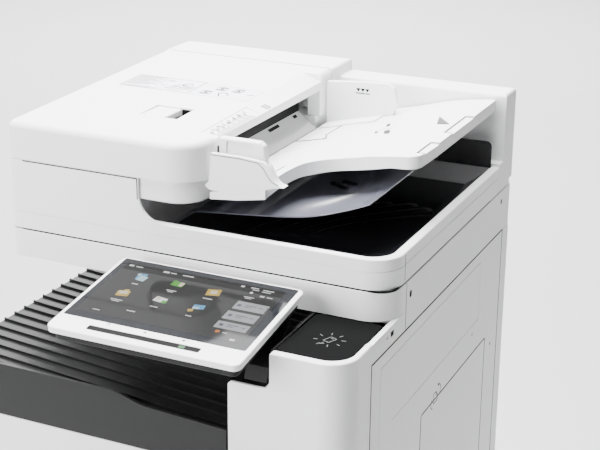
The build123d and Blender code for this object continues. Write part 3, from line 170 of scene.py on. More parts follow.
def moulded(name, colour, rough=0.45, grain=700, depth=0.00006, drift=0.03, coat=0.0, specular=0.5):
    """Moulded plastic: spark-eroded grain, slow changes of tone, and a roughness that varies with both."""
    made = Finish(name, rough, coat=coat, specular=specular)
    fine, slow = made.noise(grain, 3), made.noise(3.5, 2)
    cast = made.noise(60, 2)
    low = [c * (1 - drift) for c in colour]
    high = [min(1.0, c * (1 + drift * 0.4)) for c in colour]
    tone = slow * 0.7 + cast * 0.3
    made.feed(Base_Color=made.mix(tone, low, high),
              Roughness=rough + (fine - 0.5) * 0.12 + (slow - 0.5) * 0.06)
    return made.bump(fine * 0.8 + cast * 0.2, depth, 0.4)


def metal(name, colour, rough=0.35, along=(1, 30, 30)):
    """Sheet metal: rolled streaks along one axis, and faint stains."""
    made = Finish(name, rough, metallic=1.0)
    streak, stain = made.noise(60, 4, along), made.noise(9, 3)
    made.feed(Base_Color=made.mix(streak * 0.5 + stain * 0.5, [c * 0.8 for c in colour], colour),
              Roughness=rough + (streak - 0.5) * 0.2 + (stain - 0.5) * 0.1)
    return made.bump(streak, 0.00004, 0.3)


def glow(name, colour, power, spread=0.06):
    """A lit area of the screen: its own light, a little uneven, under the shine of the glass."""
    made = Finish(name, 0.08, specular=0.12)
    tone = made.noise(90, 2)
    low = [c * (1 - spread) for c in colour]
    made.feed(Base_Color=made.mix(tone, [c * 0.05 for c in low], [c * 0.06 for c in colour]),
              Emission_Color=made.mix(tone, low, colour), Emission_Strength=power,
              Roughness=0.06 + tone * 0.04)
    return made


WHITE = moulded("shell_white", grey(0.80, -0.004), 0.42, specular=0.45)
FRONT_WHITE = moulded("front_white", grey(0.78, -0.004), 0.40)
TRAY_WHITE = moulded("feed_tray_white", grey(0.82, -0.003), 0.5, depth=0.00008)
BEZEL = moulded("bezel_white", grey(0.85), 0.3, grain=1200, depth=0.00002, coat=0.2)
BLACK = moulded("tray_black", grey(0.008, -0.02), 0.38, grain=500, depth=0.0001, drift=0.15, specular=0.15)
PANEL_BLACK = moulded("panel_black", grey(0.012), 0.5, drift=0.15, specular=0.12)
SCOOP = moulded("scoop_grey", grey(0.016, -0.01), 0.34, grain=300, depth=0.00003, drift=0.08, specular=0.14)
PAD = moulded("card_pad_grey", grey(0.007, -0.02), 0.65, grain=900, depth=0.00008, drift=0.1, specular=0.0)
GREY = moulded("light_grey", grey(0.5), 0.5)
CASSETTE = moulded("cassette_grey", grey(0.30, -0.01), 0.5)
TONER = moulded("toner_plastic", grey(0.05), 0.4, drift=0.1)
DOC_TRAY = moulded("document_blue_black", (0.008, 0.008, 0.010), 0.24, grain=160, depth=0.00002, drift=0.2,
                   specular=0.3)
FOAM = moulded("platen_sheet_white", grey(0.85), 0.35, grain=1500, depth=0.00002)
RUBBER = moulded("roller_rubber", grey(0.04), 0.75, grain=900, depth=0.0002, drift=0.2)
BELT = moulded("belt_black", grey(0.015), 0.18, grain=200, depth=0.00002, drift=0.2, coat=0.4)
STEEL = metal("zinc_sheet", grey(0.55, 0.01), 0.38)
BRIGHT = metal("bright_steel", grey(0.65), 0.25, (30, 30, 1))
GLASS_BLACK = moulded("screen_black", (0.010, 0.011, 0.013), 0.06, grain=120, depth=0.000008, drift=0.2,
                      specular=0.12)

SMOKE = Finish("smoked_sheet", 0.06, coat=1.0)
smoke_tone = SMOKE.noise(6, 2)
# Painted highlight: a white elongated spot near the front of the sheet, mixed into its colour and raising its
# opacity.
across, deep = SMOKE.axis("X") - 0.148, SMOKE.axis("Y") + 0.012
long_way, short_way = (across + deep) / 0.046, (across - deep) / 0.016
painted_highlight = 1.0 / (1.0 + long_way * long_way + short_way * short_way) ** 2
# Painted shade: the sheet's colour is dark at its left end and lightens to the right, with some random tone.
painted_shade_ramp = SMOKE.node("ShaderNodeMapRange", {}, {0: SMOKE.axis("X"), 1: -0.03, 2: 0.20, 3: 0.0, 4: 1.0})
smoke_with_painted_shade = SMOKE.mix(painted_shade_ramp * 0.8 + smoke_tone * 0.2, (0.022, 0.023, 0.032), (0.22, 0.225, 0.28))
SMOKE.feed(Base_Color=SMOKE.mix(painted_highlight, smoke_with_painted_shade, (1.0, 1.0, 1.0)),
           Alpha=0.80 + smoke_tone * 0.1 + painted_highlight * 0.1, Roughness=0.10 + smoke_tone * 0.05)
SMOKE.bump(smoke_tone, 0.0008, 0.3)
PLATEN = Finish("platen_glass", 0.04, coat=0.5)
platen_tone = PLATEN.noise(5, 2)
PLATEN.feed(Base_Color=PLATEN.mix(platen_tone, (0.10, 0.13, 0.13), (0.14, 0.17, 0.17)),
            Alpha=0.5 + platen_tone * 0.08, Roughness=0.03 + platen_tone * 0.03)

FINISH_OF_SLOT = {
    "white_plastic": WHITE, "frame_steel": STEEL, "foot_metal": BRIGHT, "inlet_black": PANEL_BLACK,
    "switch_black": PANEL_BLACK, "card_pad": PAD, "tray_black": BLACK, "scoop_grey": SCOOP,
    "light_grey": GREY, "toner_plastic": TONER, "belt_black": BELT, "inner_metal": STEEL,
    "roller_rubber": RUBBER, "platen_glass": PLATEN, "carriage_black": PANEL_BLACK,
    "document_tray": DOC_TRAY, "pad_foam": FOAM, "smoked_sheet": SMOKE, "screen_glass": GLASS_BLACK,
    "panel_black": PANEL_BLACK, "caster_tyre": RUBBER, "cassette_grey": CASSETTE}
FINISH_OF_NODE = {"feed_tray": TRAY_WHITE, "front_guide": TRAY_WHITE, "rear_guide": TRAY_WHITE,
                  "panel_shell": BEZEL, "front_door": FRONT_WHITE, "pillar_cover": FRONT_WHITE}
for row in frame["record"]["subparts"]:
    node = frame["nodes"][row["node"]]
    finish = FINISH_OF_NODE.get(row["node"], FINISH_OF_SLOT[row["material_slot"]])
    node.data.materials.clear()
    node.data.materials.append(finish.mat)

INK = moulded("mark_grey", grey(0.008), 0.5, grain=400, depth=0.00001, drift=0.1, specular=0.15)
INK_SOFT = moulded("mark_soft_grey", grey(0.045), 0.5, grain=400, depth=0.00001, drift=0.06, specular=0.2)
# Dark grey for seam lines: painted shade standing in for the shade inside the seams.
SEAM_SHADE = moulded("seam_painted_shade", grey(0.03), 0.6, grain=400, depth=0.00001, drift=0.08, specular=0.15)
LABEL = moulded("label_lilac_white", (0.72, 0.72, 0.80), 0.35, grain=900, depth=0.00001)
# Near-black: real dark parts such as slots, level windows and the status strip, and also painted shade in the
# side door and bypass seams, round the reader seat, along the feeder edge and in the pillar notch.
BLACK_AND_SHADE = moulded("black_and_painted_shade", grey(0.006), 0.6, grain=500, depth=0.00005, drift=0.2, specular=0.08)
PALE = moulded("mark_pale", grey(0.16), 0.5, grain=400, depth=0.00001)
ORANGE = moulded("tab_orange", (0.62, 0.20, 0.04), 0.45)
DISPLAY = glow("display_grey", grey(0.06), 1.0, 0.03)
BAR = glow("display_bar", grey(0.012), 1.0)
LIT_TEXT = glow("display_text", grey(0.75), 1.0)
LIT_BOX = glow("display_box", (0.40, 0.41, 0.43), 1.0)
LIT_INK = glow("display_ink", (0.12, 0.13, 0.17), 1.0)
LIT_BLUE = glow("display_blue", (0.16, 0.46, 0.75), 1.0, 0.3)
LIT_SKY = glow("display_sky", (0.50, 0.72, 0.82), 1.0, 0.1)
LIT_GREEN = glow("display_green", (0.16, 0.50, 0.10), 1.0, 0.3)
LIT_YELLOW = glow("display_yellow", (0.72, 0.50, 0.12), 1.0, 0.3)
LIT_CREAM = glow("display_cream", (0.80, 0.74, 0.56), 1.0, 0.1)
LIT_WHITE = glow("display_white", grey(0.98), 1.0, 0.1)
LIT_RED = glow("display_red", (0.62, 0.22, 0.08), 1.0, 0.2)
LED = glow("led_green", (0.0, 0.30, 0.05), 1.0, 0.2)


# ------------------------------------------------------------------ added surfaces
TILT = math.radians(7.9)
H, XR, YB = 1145.0, 282.5, 356.0
COVER_FRONT, TRAY_FRONT, GUIDE_Y, HOUSING_Y = -151, -120, 252, 278
PAD_TOP, READER_TOP, DISH_FLOOR, GAP_FLOOR = 939.5, 978.5, 988, 1108.4


def flat(origin, right, up):
    """Flat face: origin plus u along right, v along up and the lift along their cross product."""
    origin, right, up = (np.array(w, float) for w in (origin, right, up))
    out = np.cross(right, up)
    return lambda u, v, lift: origin + right * u + up * v + out * lift


def feed_face(u, v, lift):
    """Sheet face of the feed tray: height read off its profile at x = u, v is y."""
    xs = (14, 40, 70, 106, 146, 196, 230, 254, 267.5)
    drop = (-81, -75, -67, -58.5, -49, -35, -29, -26, -25)
    return np.array((u, v, H + np.interp(u, xs, drop) + lift))


def cover_face(u, v, lift):
    """Top of the feeder cover: x = u, y = v, rising 13 mm from front to back."""
    return np.array((u, v, H - 13 + 13 * (v + 152) / 431 + lift))


def bevel_face(u, v, lift):
    """Bevel beside the inlet: between the sloping crease at x = -18 and the level lip at x = 13."""
    back = (v + 99) / 338
    crease, lip = H - 11.4 + 10.2 * back, H - 15 + 2.4 * back
    return np.array((u, v, crease + (u + 18) / 31 * (lip - crease) + lift))


PANEL_FACE = flat((44.5, -356, 950), (1, 0, 0), (0, math.cos(TILT), math.sin(TILT)))
PAD_FACE = flat((0, 0, PAD_TOP), (1, 0, 0), (0, 1, 0))
RIGHT_FACE = flat((XR, 0, 0), (0, 1, 0), (0, 0, 1))
BACK_FACE = flat((0, YB, 0), (-1, 0, 0), (0, 0, 1))
GUIDE_FACE = flat((0, GUIDE_Y, 0), (1, 0, 0), (0, 0, 1))


def spot(x, y, r, count=24):
    """Round outline: radius r at equal angles."""
    return [(x + r * math.cos(2 * math.pi * i / count), y + r * math.sin(2 * math.pi * i / count))
            for i in range(count)]


def arc(x, y, r, start, end, count=14):
    """Open arc from one angle to another, in degrees."""
    angles = [math.radians(start + (end - start) * i / count) for i in range(count + 1)]
    return [(x + r * math.cos(a), y + r * math.sin(a)) for a in angles]


def tile(x, y, w, h, turn=0.0, corner=0.0):
    """Rectangle about a point, turned by an angle in degrees, with its corners rounded in quarter arcs."""
    out = []
    for cx, cy, start in ((1, 1, 0), (-1, 1, 90), (-1, -1, 180), (1, -1, 270)):
        px, py = cx * (w / 2 - corner), cy * (h / 2 - corner)
        out += arc(px, py, corner, start, start + 90, 5) if corner else [(px, py)]
    c, s = math.cos(math.radians(turn)), math.sin(math.radians(turn))
    return [(x + c * a - s * b, y + s * a + c * b) for a, b in out]


class Piece:
    """One added mesh, gathered from closed prisms, strips and swells laid on a face."""

    def __init__(self, name, finish, body, slot):
        self.name, self.finish, self.body, self.slot = name, finish, body, slot
        self.points, self.faces = [], []

    def prism(self, outline, face, low=-0.2, high=0.12):
        """Closed prism. The outline is turned anticlockwise by the sign of its area, which is half the sum of
        the cross products of neighbouring corners, then set on the face at a low and a high lift."""
        outline = np.array(outline, float)
        after = np.roll(outline, -1, axis=0)
        if (outline[:, 0] * after[:, 1] - outline[:, 1] * after[:, 0]).sum() < 0:
            outline = outline[::-1]
        base, count = len(self.points), len(outline)
        for lift in (low, high):
            self.points += [face(u, v, lift) for u, v in outline]
        self.faces.append(tuple(base + i for i in reversed(range(count))))
        self.faces.append(tuple(base + count + i for i in range(count)))
        self.faces += [(base + i, base + (i + 1) % count, base + count + (i + 1) % count, base + count + i)
                       for i in range(count)]
        return self

    def tiles(self, rows, face, low=-0.2, high=0.12):
        """Several rectangles, each as (x, y, width, height)."""
        for row in rows:
            self.prism(tile(*row), face, low, high)
        return self

    def line(self, path, width, face, low=-0.2, high=0.12, step=400.0, closed=False):
        """Strip of even width along a path. Each corner is set off by half the width along the mean of the
        two side normals, over the cosine of half the bend. The path is cut into steps to follow the face."""
        path = [np.array(p, float) for p in path]
        if closed:
            path = path + [path[0]]
        fine = [path[0]]
        for a, b in zip(path, path[1:]):
            cuts = max(1, int(math.ceil(np.linalg.norm(b - a) / step)))
            fine += [a + (b - a) * i / cuts for i in range(1, cuts + 1)]
        if closed:
            fine = fine[:-1]
        count = len(fine)
        sides = []
        for i in range(count):
            before = fine[i] - fine[i - 1] if (i or closed) else fine[1] - fine[0]
            after = fine[(i + 1) % count] - fine[i] if (i < count - 1 or closed) else before
            n0, n1 = (np.array((-d[1], d[0])) / np.linalg.norm(d) for d in (before, after))
            mean = n0 + n1
            mean = mean / max(0.35, np.linalg.norm(mean) ** 2 / 2)
            sides.append((fine[i] + mean * width / 2, fine[i] - mean * width / 2))
        base = len(self.points)
        for left, right in sides:
            self.points += [face(left[0], left[1], low), face(right[0], right[1], low),
                            face(right[0], right[1], high), face(left[0], left[1], high)]
        for i in range(count if closed else count - 1):
            a, b = base + 4 * i, base + 4 * ((i + 1) % count)
            self.faces += [(a + 3, a + 2, b + 2, b + 3), (a, b, b + 1, a + 1), (a + 1, b + 1, b + 2, a + 2),
                           (b, a, a + 3, b + 3)]
        if not closed:
            last = base + 4 * (count - 1)
            self.faces += [(base, base + 1, base + 2, base + 3), (last + 1, last, last + 3, last + 2)]
        return self

    def swell(self, path, width, height, face, sink=0.4, across=9):
        """Rounded ridge along a path: its height times the squared cosine across the width and the root of
        the sine along the length, closed by a flat underside sunk into the face."""
        path = [np.array(p, float) for p in path]
        count = len(path)
        base = len(self.points)
        for i, at in enumerate(path):
            d = path[min(i + 1, count - 1)] - path[max(i - 1, 0)]
            n = np.array((-d[1], d[0])) / np.linalg.norm(d)
            rise = math.sin(math.pi * i / (count - 1)) ** 0.5
            for k in range(across):
                t = k / (across - 1) * 2 - 1
                q = at - n * t * width / 2
                crown = height * rise * math.cos(t * math.pi / 2) ** 2 - sink * 0.2
                lift = -sink if k in (0, across - 1) else crown
                self.points.append(face(q[0], q[1], lift))
        for i in range(count - 1):
            a, b = base + across * i, base + across * (i + 1)
            self.faces += [(a + k, a + k + 1, b + k + 1, b + k) for k in range(across - 1)]
            self.faces.append((a + across - 1, a, b, b + across - 1))
        last = base + across * (count - 1)
        self.faces.append(tuple(base + k for k in reversed(range(across))))
        self.faces.append(tuple(last + k for k in range(across)))
        return self

    def done(self, smooth=False):
        """Make the mesh, give it its finish and let it ride on its body."""
        mesh = bpy.data.meshes.new(self.name)
        mesh.from_pydata([tuple(p * MM) for p in self.points], [], self.faces)
        mesh.polygons.foreach_set("use_smooth", [smooth] * len(mesh.polygons))
        mesh.materials.append(self.finish.mat)
        mesh.update()
        made = bpy.data.objects.new(self.name, mesh)
        bpy.context.collection.objects.link(made)
        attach(made, self.body)
        return made


# touch panel: display, bars, icons, boxes and captions
def lit(name, finish):
    """An empty piece of the screen's picture."""
    return Piece(name, finish, "panel", "screen_glass")


lit("display_area", DISPLAY).prism(tile(-3.3, 110, 229.5, 127, 0, 1), PANEL_FACE, -0.4, -0.15).done()
lit("display_top_bar", BAR).prism(tile(-3.3, 165.3, 229, 16, 0, 0.5), PANEL_FACE, -0.4, -0.11).done()
captions = (
    (-109, 168, 7, 4), (-96.8, 167.4, 10, 2.2), (-56.5, 167.4, 9, 4), (-46, 167.4, 8, 2),
    (-24.6, 167.2, 16, 2.2), (53.2, 168, 5, 3.6), (69.9, 168.6, 11, 2), (89.3, 167.6, 15, 2),
    (73, 164.4, 9, 1.6), (88, 163.4, 12, 1.6), (-80.1, 126.9, 9, 2), (-27.3, 127.6, 14, 1.8),
    (-27.3, 124.6, 8, 1.6), (25.4, 125.2, 13, 1.8), (-81.5, 84.8, 17, 1.8), (-81.5, 81.6, 11, 1.6),
    (-28.2, 85.2, 11, 1.8), (22.7, 80.8, 8, 1.8), (-49.6, 66.4, 12, 2), (-92.6, 55.2, 10, 1.6),
    (82.9, 60.8, 6, 1.8), (87.4, 152.8, 6, 3.2), (97.7, 152.6, 8, 1.8), (72.7, 146, 14, 1.6),
    (72.7, 142.8, 9, 1.4))
lit("display_captions", LIT_TEXT).tiles(captions, PANEL_FACE, -0.3, -0.07).done()
blue, sky, green, yellow, cream, white = (lit("icons_" + n, f) for n, f in (
    ("blue", LIT_BLUE), ("sky", LIT_SKY), ("green", LIT_GREEN), ("yellow", LIT_YELLOW), ("cream", LIT_CREAM),
    ("white", LIT_WHITE)))
icon_parts = (
    (blue, -81.5, 146, 13, 15, 8, -0.07), (sky, -78.5, 142, 12, 12, -8, -0.03),
    (sky, -86.5, 150, 5, 5, 20, -0.03), (green, -27.5, 145, 17, 11, -6, -0.07),
    (cream, -22.5, 145.5, 6, 9, -6, -0.03), (green, -33.5, 150, 6, 4, 10, -0.07),
    (yellow, 25.4, 141.4, 18, 15, 12, -0.07), (cream, 25.8, 142, 9, 8, 12, -0.03),
    (yellow, 31, 148, 6, 4, -30, -0.07), (yellow, -82, 101, 17, 13, 8, -0.07),
    (cream, -82.5, 103.5, 12, 7, 8, -0.03), (yellow, -81, 109, 7, 5, 20, -0.07),
    (white, -29, 103, 17, 11, -8, -0.07), (green, -22, 99.5, 7, 6, -8, -0.03),
    (cream, -33, 105, 6, 5, -8, -0.03), (blue, 25, 103.5, 15, 10, 8, -0.07),
    (sky, 22.5, 100.5, 9, 5, 8, -0.03), (yellow, 18.5, 93.5, 7, 6, 20, -0.07),
    (white, 98.5, 49.7, 7, 4, 0, -0.07), (white, 70.4, 157, 4, 4, 45, -0.03))
for piece, x, y, w, h, turn, high in icon_parts:
    piece.prism(tile(x, y, w, h, turn, 1.2), PANEL_FACE, -0.3, high)
for piece in (blue, sky, green, yellow, cream, white):
    piece.done()
lit("display_boxes", LIT_BOX).tiles(((85.8, 124.7, 43, 19, 0, 0.8), (84.5, 99.7, 43, 19, 0, 0.8),
                                     (84.5, 76.5, 43, 15.5, 0, 0.8)), PANEL_FACE, -0.3, -0.07).done()
ink = lit("display_box_marks", LIT_INK)
for box_y in (124.7, 99.7, 76.5):
    ink.tiles(((70, box_y, 5, 5), (85, box_y + 2.2, 15, 1.5), (82, box_y - 1.6, 9, 1.3),
               (99, box_y + 1, 6, 1.3), (106.4, box_y, 0.8, 12)), PANEL_FACE, -0.3, -0.03)
ink.done()
lit("display_stop_dot", LIT_RED).prism(spot(72.7, 61.4, 3.2), PANEL_FACE, -0.3, -0.05).done()
keys = Piece("panel_key_marks", INK_SOFT, "panel", "panel_black")
keys.line(spot(-58.7, 29.3, 2.2, 16), 0.7, PANEL_FACE, closed=True)
keys.prism(tile(-58.7, 31.2, 0.8, 2.6), PANEL_FACE)
keys.prism([(-9.6, 27), (-4.6, 27), (-7.1, 31)], PANEL_FACE)
keys.prism(spot(45.4, 28.6, 2.0, 16), PANEL_FACE).tiles(((50.4, 28.6, 3, 0.8),), PANEL_FACE).done()
Piece("status_strip", BLACK_AND_SHADE, "panel", "panel_black").prism(
    tile(-3, 15.8, 153.4, 9.4, 0, 1.3), PANEL_FACE, -1.1, -0.35).done()
lit("status_led", LED).prism(tile(49.6, 15.8, 8, 5.4, 0, 1), PANEL_FACE, -0.6, -0.2).done()

# feeder cover: two guide labels, size scale and sheet mark
labels = Piece("feeder_labels", LABEL, "feeder_cover", "white_plastic")
labels.prism(tile(-180.2, 97.8, 114.6, 62.3, 0, 1.5), cover_face, -0.3, 0.08)
labels.prism(tile(-73, 92, 98, 57, 0, 1.5), cover_face, -0.3, 0.06).done()
lines = Piece("feeder_label_lines", INK_SOFT, "feeder_cover", "light_grey")
lines.line(tile(-180.2, 97.8, 113.2, 61, 0, 1.2), 1.5, cover_face, 0.0, 0.14, closed=True)
lines.line([(-123.4, 124), (-25, 119.5), (-25, 63.5), (-123.4, 66)], 0.6, cover_face, 0.0, 0.12)
for row in range(11):
    length = (46, 40, 47, 33, 45, 48, 29, 44, 47, 38, 24)[row]
    lines.prism(tile(-235 + length / 2, 125 - row * 4.4, length, 1.9), cover_face, 0.0, 0.14)
lines.tiles([(-205, 73.5, 58, 1.7), (-211, 69.6, 46, 1.4), (-186, 104, 0.9, 44)], cover_face, 0.0, 0.14)
lines.tiles([(-176, 118, 10, 2), (-176, 113, 14, 2), (-177, 92, 9, 2)], cover_face, 0.0, 0.14)
for off in (0, 7, 14):
    lines.line([(-168 + off * 0.5, 80 + off), (-146, 74 + off), (-128, 84 + off), (-150, 91 + off)],
               1.6, cover_face, 0.0, 0.14, closed=True)
lines.line(arc(-142, 104, 7, 20, 300), 2.4, cover_face, 0.0, 0.15)
lines.done()
turns = Piece("feeder_label_arrows", INK, "feeder_cover", "light_grey")
for cx, cy in ((-86.5, 106.2), (-59.3, 105.3), (-101, 82.5)):
    for start in (30, 210):
        turns.line(arc(cx, cy, 7.6, start, start + 135), 3.2, cover_face, 0.0, 0.16)
    turns.tiles([(cx, cy, 6.0, 4.4), (cx, cy + 3.9, 7, 1.5), (cx, cy - 3.9, 7, 1.5)], cover_face, 0.0, 0.16)
    turns.prism([(cx + 9.5, cy + 5.5), (cx + 3.8, cy + 6.2), (cx + 8, cy + 1)], cover_face, 0.0, 0.16)
    turns.prism([(cx - 9.5, cy - 5.5), (cx - 3.8, cy - 6.2), (cx - 8, cy - 1)], cover_face, 0.0, 0.16)
turns.line(arc(-73.8, 82, 7.5, 20, 160), 2.8, cover_face, 0.0, 0.16)
turns.line([(-81, 84), (-77.5, 76), (-74, 71)], 2.2, cover_face, 0.0, 0.16)
turns.tiles([(-34.3, 93, 11, 2.2), (-65, 80, 5, 2.2)], cover_face, 0.0, 0.16).done()
scale = Piece("size_scale", INK, "feeder_cover", "light_grey")
for mark in range(21):
    at = -83 + mark * 5.1
    length = (17, 7, 10, 19, 8, 12, 21, 9, 14, 7, 18)[mark % 11]
    scale.tiles([(10.5 - length / 2, at, length, 1.7), (-3 - mark % 3 * 2.5, at + 2.5, 5.5, 1.8)],
                bevel_face, 0.0, 0.14)
scale.line([(-14.5, -86), (-14.5, 41)], 0.8, bevel_face, 0.0, 0.12, 20)
scale.line([(-14.5, 41), (9, 34)], 0.8, bevel_face, 0.0, 0.12)
scale.line([(-1, 61), (-1, 73), (6, 73), (8.5, 70), (8.5, 61)], 1.6, bevel_face, 0.0, 0.14, closed=True)
scale.tiles([(3.5, 70, 6, 1.5), (3.5, 67, 6, 1.5), (3.5, 64, 6, 1.5)], bevel_face, 0.0, 0.14).done()

# sheet inlet: dark back wall, light ramp and the dark strips on it
INLET_FACE = flat((-21.5, 0, 0), (0, 1, 0), (0, 0, 1))
inlet = Piece("inlet_lining", BLACK_AND_SHADE, "feeder", "inlet_black")
inlet.prism(tile(70, 1091, 322, 52), INLET_FACE, -1.0, 0.5).done()
WEDGE = flat((0, 228, 0), (1, 0, 0), (0, 0, 1))
Piece("inlet_ramp", GREY, "feeder", "light_grey").prism(
    [(9.5, 1062.2), (-20.5, 1062.2), (-20.5, 1086)], WEDGE, 0, 318).done()
strips = Piece("inlet_ramp_strips", BLACK_AND_SHADE, "feeder", "inlet_black")
for back, reach in ((212, 12), (150, 34), (60, 34)):
    strips.prism([(-11, 1077.4), (-18, 1084), (-18, 1084.6), (-11, 1078)],
                 flat((0, back, 0), (1, 0, 0), (0, 0, 1)), 0, reach)
strips.done()

# dark well beside the release lever
well = Piece("lever_well", BLACK_AND_SHADE, "feeder_cover", "inlet_black")
well.prism(tile(-83.4, 1122, 17.6, 25), flat((0, -1.6, 0), (1, 0, 0), (0, 0, 1)), 0.1, 1.1)
well.prism(tile(-83.4, -26.5, 17.6, 48), flat((0, 0, GAP_FLOOR), (1, 0, 0), (0, 1, 0)), 0, 1.1).done()

# feed tray: plate seams, sheet marks and the load arrow
# Painted shade: the plate seams and tab outlines are dark lines standing in for the shade in their gaps.
seams = Piece("feed_tray_seams", SEAM_SHADE, "feed_tray", "light_grey")
seams.line([(16, 142), (66, 136.5)], 3.0, feed_face, -0.3, 0.7, 8)
seams.line([(66, 136.5), (54.5, 163), (58, 289)], 1.8, feed_face, -0.3, 0.7, 8)
seams.line([(71.2, -40), (72.5, -15.5)], 1.4, feed_face, -0.3, 0.7, 8)
seams.line([(16, 70), (44, 92), (66, 136.5)], 0.7, feed_face, -0.3, 0.08, 8)
for y0, y1 in ((103, 196), (-4, 50)):
    seams.line([(267, y0), (255.4, y0), (255.4, y1), (267, y1)], 1.2, feed_face, -0.3, 0.4, 8)
seams.done()
load = Piece("feed_tray_marks", INK, "feed_tray", "light_grey")
load.prism([(140, 187), (144, 192), (149, 174), (145, 171)], feed_face, -0.3, 0.45)
load.prism([(138, 146), (143, 145), (146, 136), (142, 134)], feed_face, -0.3, 0.45)
load.prism([(153, 142), (159, 146), (166, 133), (170, 118), (161, 121)], feed_face, -0.3, 0.45)
load.line(arc(150, 130, 24, 60, 125), 0.7, feed_face, -0.3, 0.1, 8)
load.line(arc(150, 130, 28, 60, 110), 0.6, feed_face, -0.3, 0.1, 8).done()
Piece("load_arrow", INK_SOFT, "feed_tray", "light_grey").prism(
    [(216.5, 196), (247.5, 148), (228.5, 150)], feed_face, -0.5, 0.9).done()
limit = Piece("guide_limit_mark", INK, "rear_guide", "light_grey")
for px in (67.5, 74.8, 82):
    limit.prism([(px - 3.6, 1126.2), (px + 3.6, 1126.2), (px, 1120.6)], GUIDE_FACE, -0.2, 0.12)
limit.prism(tile(74.8, 1118.6, 23, 1.6), GUIDE_FACE, -0.2, 0.12).done()

# two bars on the guide sheet, and the ridges of the document tray
sheet_bars = Piece("guide_sheet_bars", BLACK_AND_SHADE, "feed_tray", "smoked_sheet")


def sheet_face(u, v, lift):
    """Upper face of the smoked sheet: its profile at x = u, with y = v."""
    xs = (-30, 28, 70, 118, 148, 175, 200, 224)
    drop = (-124.5, -119, -115, -109.5, -103.5, -95, -86, -76)
    return np.array((u, v, H + np.interp(u, xs, drop) + lift))


sheet_bars.line([(103, 74), (141, 38)], 5.0, sheet_face, -0.5, 1.4, 8)
sheet_bars.line([(118, 81), (146, 61)], 5.0, sheet_face, -0.5, 1.4, 8).done()
FLOOR_FACE = flat((0, 0, DISH_FLOOR), (1, 0, 0), (0, 1, 0))
ridges = Piece("document_tray_ridges", DOC_TRAY, "feeder", "document_tray")
for shift, reach, tall in ((0, 210, 2.6), (26, 190, 2.2), (50, 160, 1.8), (-34, 215, 2.4)):
    path = [(70 + shift + 130 * (i / 24) ** 1.7, -45 + shift * 0.4 + reach * i / 24) for i in range(25)]
    ridges.swell(path, 26, tall, FLOOR_FACE)
ridges.done(True)

# card mark on the pad, port and slot on the corner, sheet mark on the side door
card = Piece("card_mark", PALE, "machine", "card_pad")
card.line(tile(231, -221, 9.5, 14, -24, 1), 0.7, PAD_FACE, closed=True)
card.line([(226.5, -231), (224.5, -236), (229, -233.5)], 0.8, PAD_FACE)
card.tiles([(232.5, -217, 5.5, 0.7, -24)], PAD_FACE)
for step in range(8):
    a = math.radians(14 + 45 * step)
    c, d = math.cos(a), math.sin(a)
    card.line([(231 + 14.5 * c, -221.5 + 14.5 * d), (231 + 20 * c, -221.5 + 20 * d)], 0.7, PAD_FACE)
card.done()
side = Piece("side_marks", INK_SOFT, "machine", "light_grey")
side.prism(spot(-161.5, 927, 1.2, 14), RIGHT_FACE).line([(-167, 927), (-157, 927)], 0.5, RIGHT_FACE)
side.line([(-165, 927), (-162.5, 930), (-160, 930)], 0.5, RIGHT_FACE).done()
slot_mark = Piece("reader_slots", BLACK_AND_SHADE, "machine", "inlet_black")
slot_mark.prism(tile(-83.2, 957.4, 8, 9.5, 0, 3), RIGHT_FACE, -0.3, 0.08)
slot_mark.prism(tile(308, 961, 7, 8, 0, 3), RIGHT_FACE, -0.3, 0.08)
slot_mark.prism(tile(-145, 927, 11.4, 7.4), RIGHT_FACE, -1.6, -0.5).done()
door_mark = Piece("side_door_mark", INK, "side_door", "light_grey")
door_mark.line([(26, 751), (26, 766), (36, 766), (42, 760), (42, 751)], 1.5, RIGHT_FACE, closed=True)
door_mark.line([(36, 766), (36, 760), (42, 760)], 1.0, RIGHT_FACE)
door_mark.line(arc(47, 764, 8, -60, 100), 1.5, RIGHT_FACE)
door_mark.prism([(42, 774), (46, 769), (48, 776)], RIGHT_FACE)
door_mark.line(arc(24, 753, 8, 120, 260), 1.5, RIGHT_FACE)
door_mark.tiles(((192, 789, 3.5, 3.5), (288, 734.5, 4, 4)), RIGHT_FACE)
door_mark.done()

# painted shade in the seams: dark strips round the side door, bypass tray and reader seat, and split lines on
# the sides, feeder cover and feed tray
# Painted shade: a dark strip round the side door stands in for the shade in its seam.
shade_strip = Piece("door_seam_shade", BLACK_AND_SHADE, "machine", "inlet_black")
low, high = span("side_door")
mid_y, mid_z = (low[1] + high[1]) / 2, (low[2] + high[2]) / 2
shade_strip.line(tile(mid_y, mid_z, high[1] - low[1] + 3.0, high[2] - low[2] + 3.0), 2.6, RIGHT_FACE,
            -0.3, 0.08, closed=True)
shade_strip.done()
# Painted shade: a dark strip round the bypass tray stands in for the shade in its seam.
shade_strip = Piece("bypass_seam_shade", BLACK_AND_SHADE, "side_door", "inlet_black")
low, high = span("bypass_tray")
mid_y, mid_z = (low[1] + high[1]) / 2, (low[2] + high[2]) / 2
shade_strip.line(tile(mid_y, mid_z, high[1] - low[1] + 2.2, high[2] - low[2] + 2.4, 0, 4), 2.4,
            flat((high[0], 0, 0), (0, 1, 0), (0, 0, 1)), -0.3, 0.08, closed=True).done()
# Painted shade: dark lines stand in for the shade in the vertical splits of the feeder and reader sides.
Piece("feeder_side_split", SEAM_SHADE, "feeder", "light_grey").line(
    [(-106.4, 983), (-106.4, 1019)], 1.5, RIGHT_FACE, -0.3, 0.08).done()
Piece("reader_side_split", SEAM_SHADE, "machine", "light_grey").line(
    [(-98.6, 913), (-98.6, 977)], 1.5, RIGHT_FACE, -0.3, 0.08).done()
SEAT_FACE = flat((0, 0, READER_TOP), (1, 0, 0), (0, 1, 0))
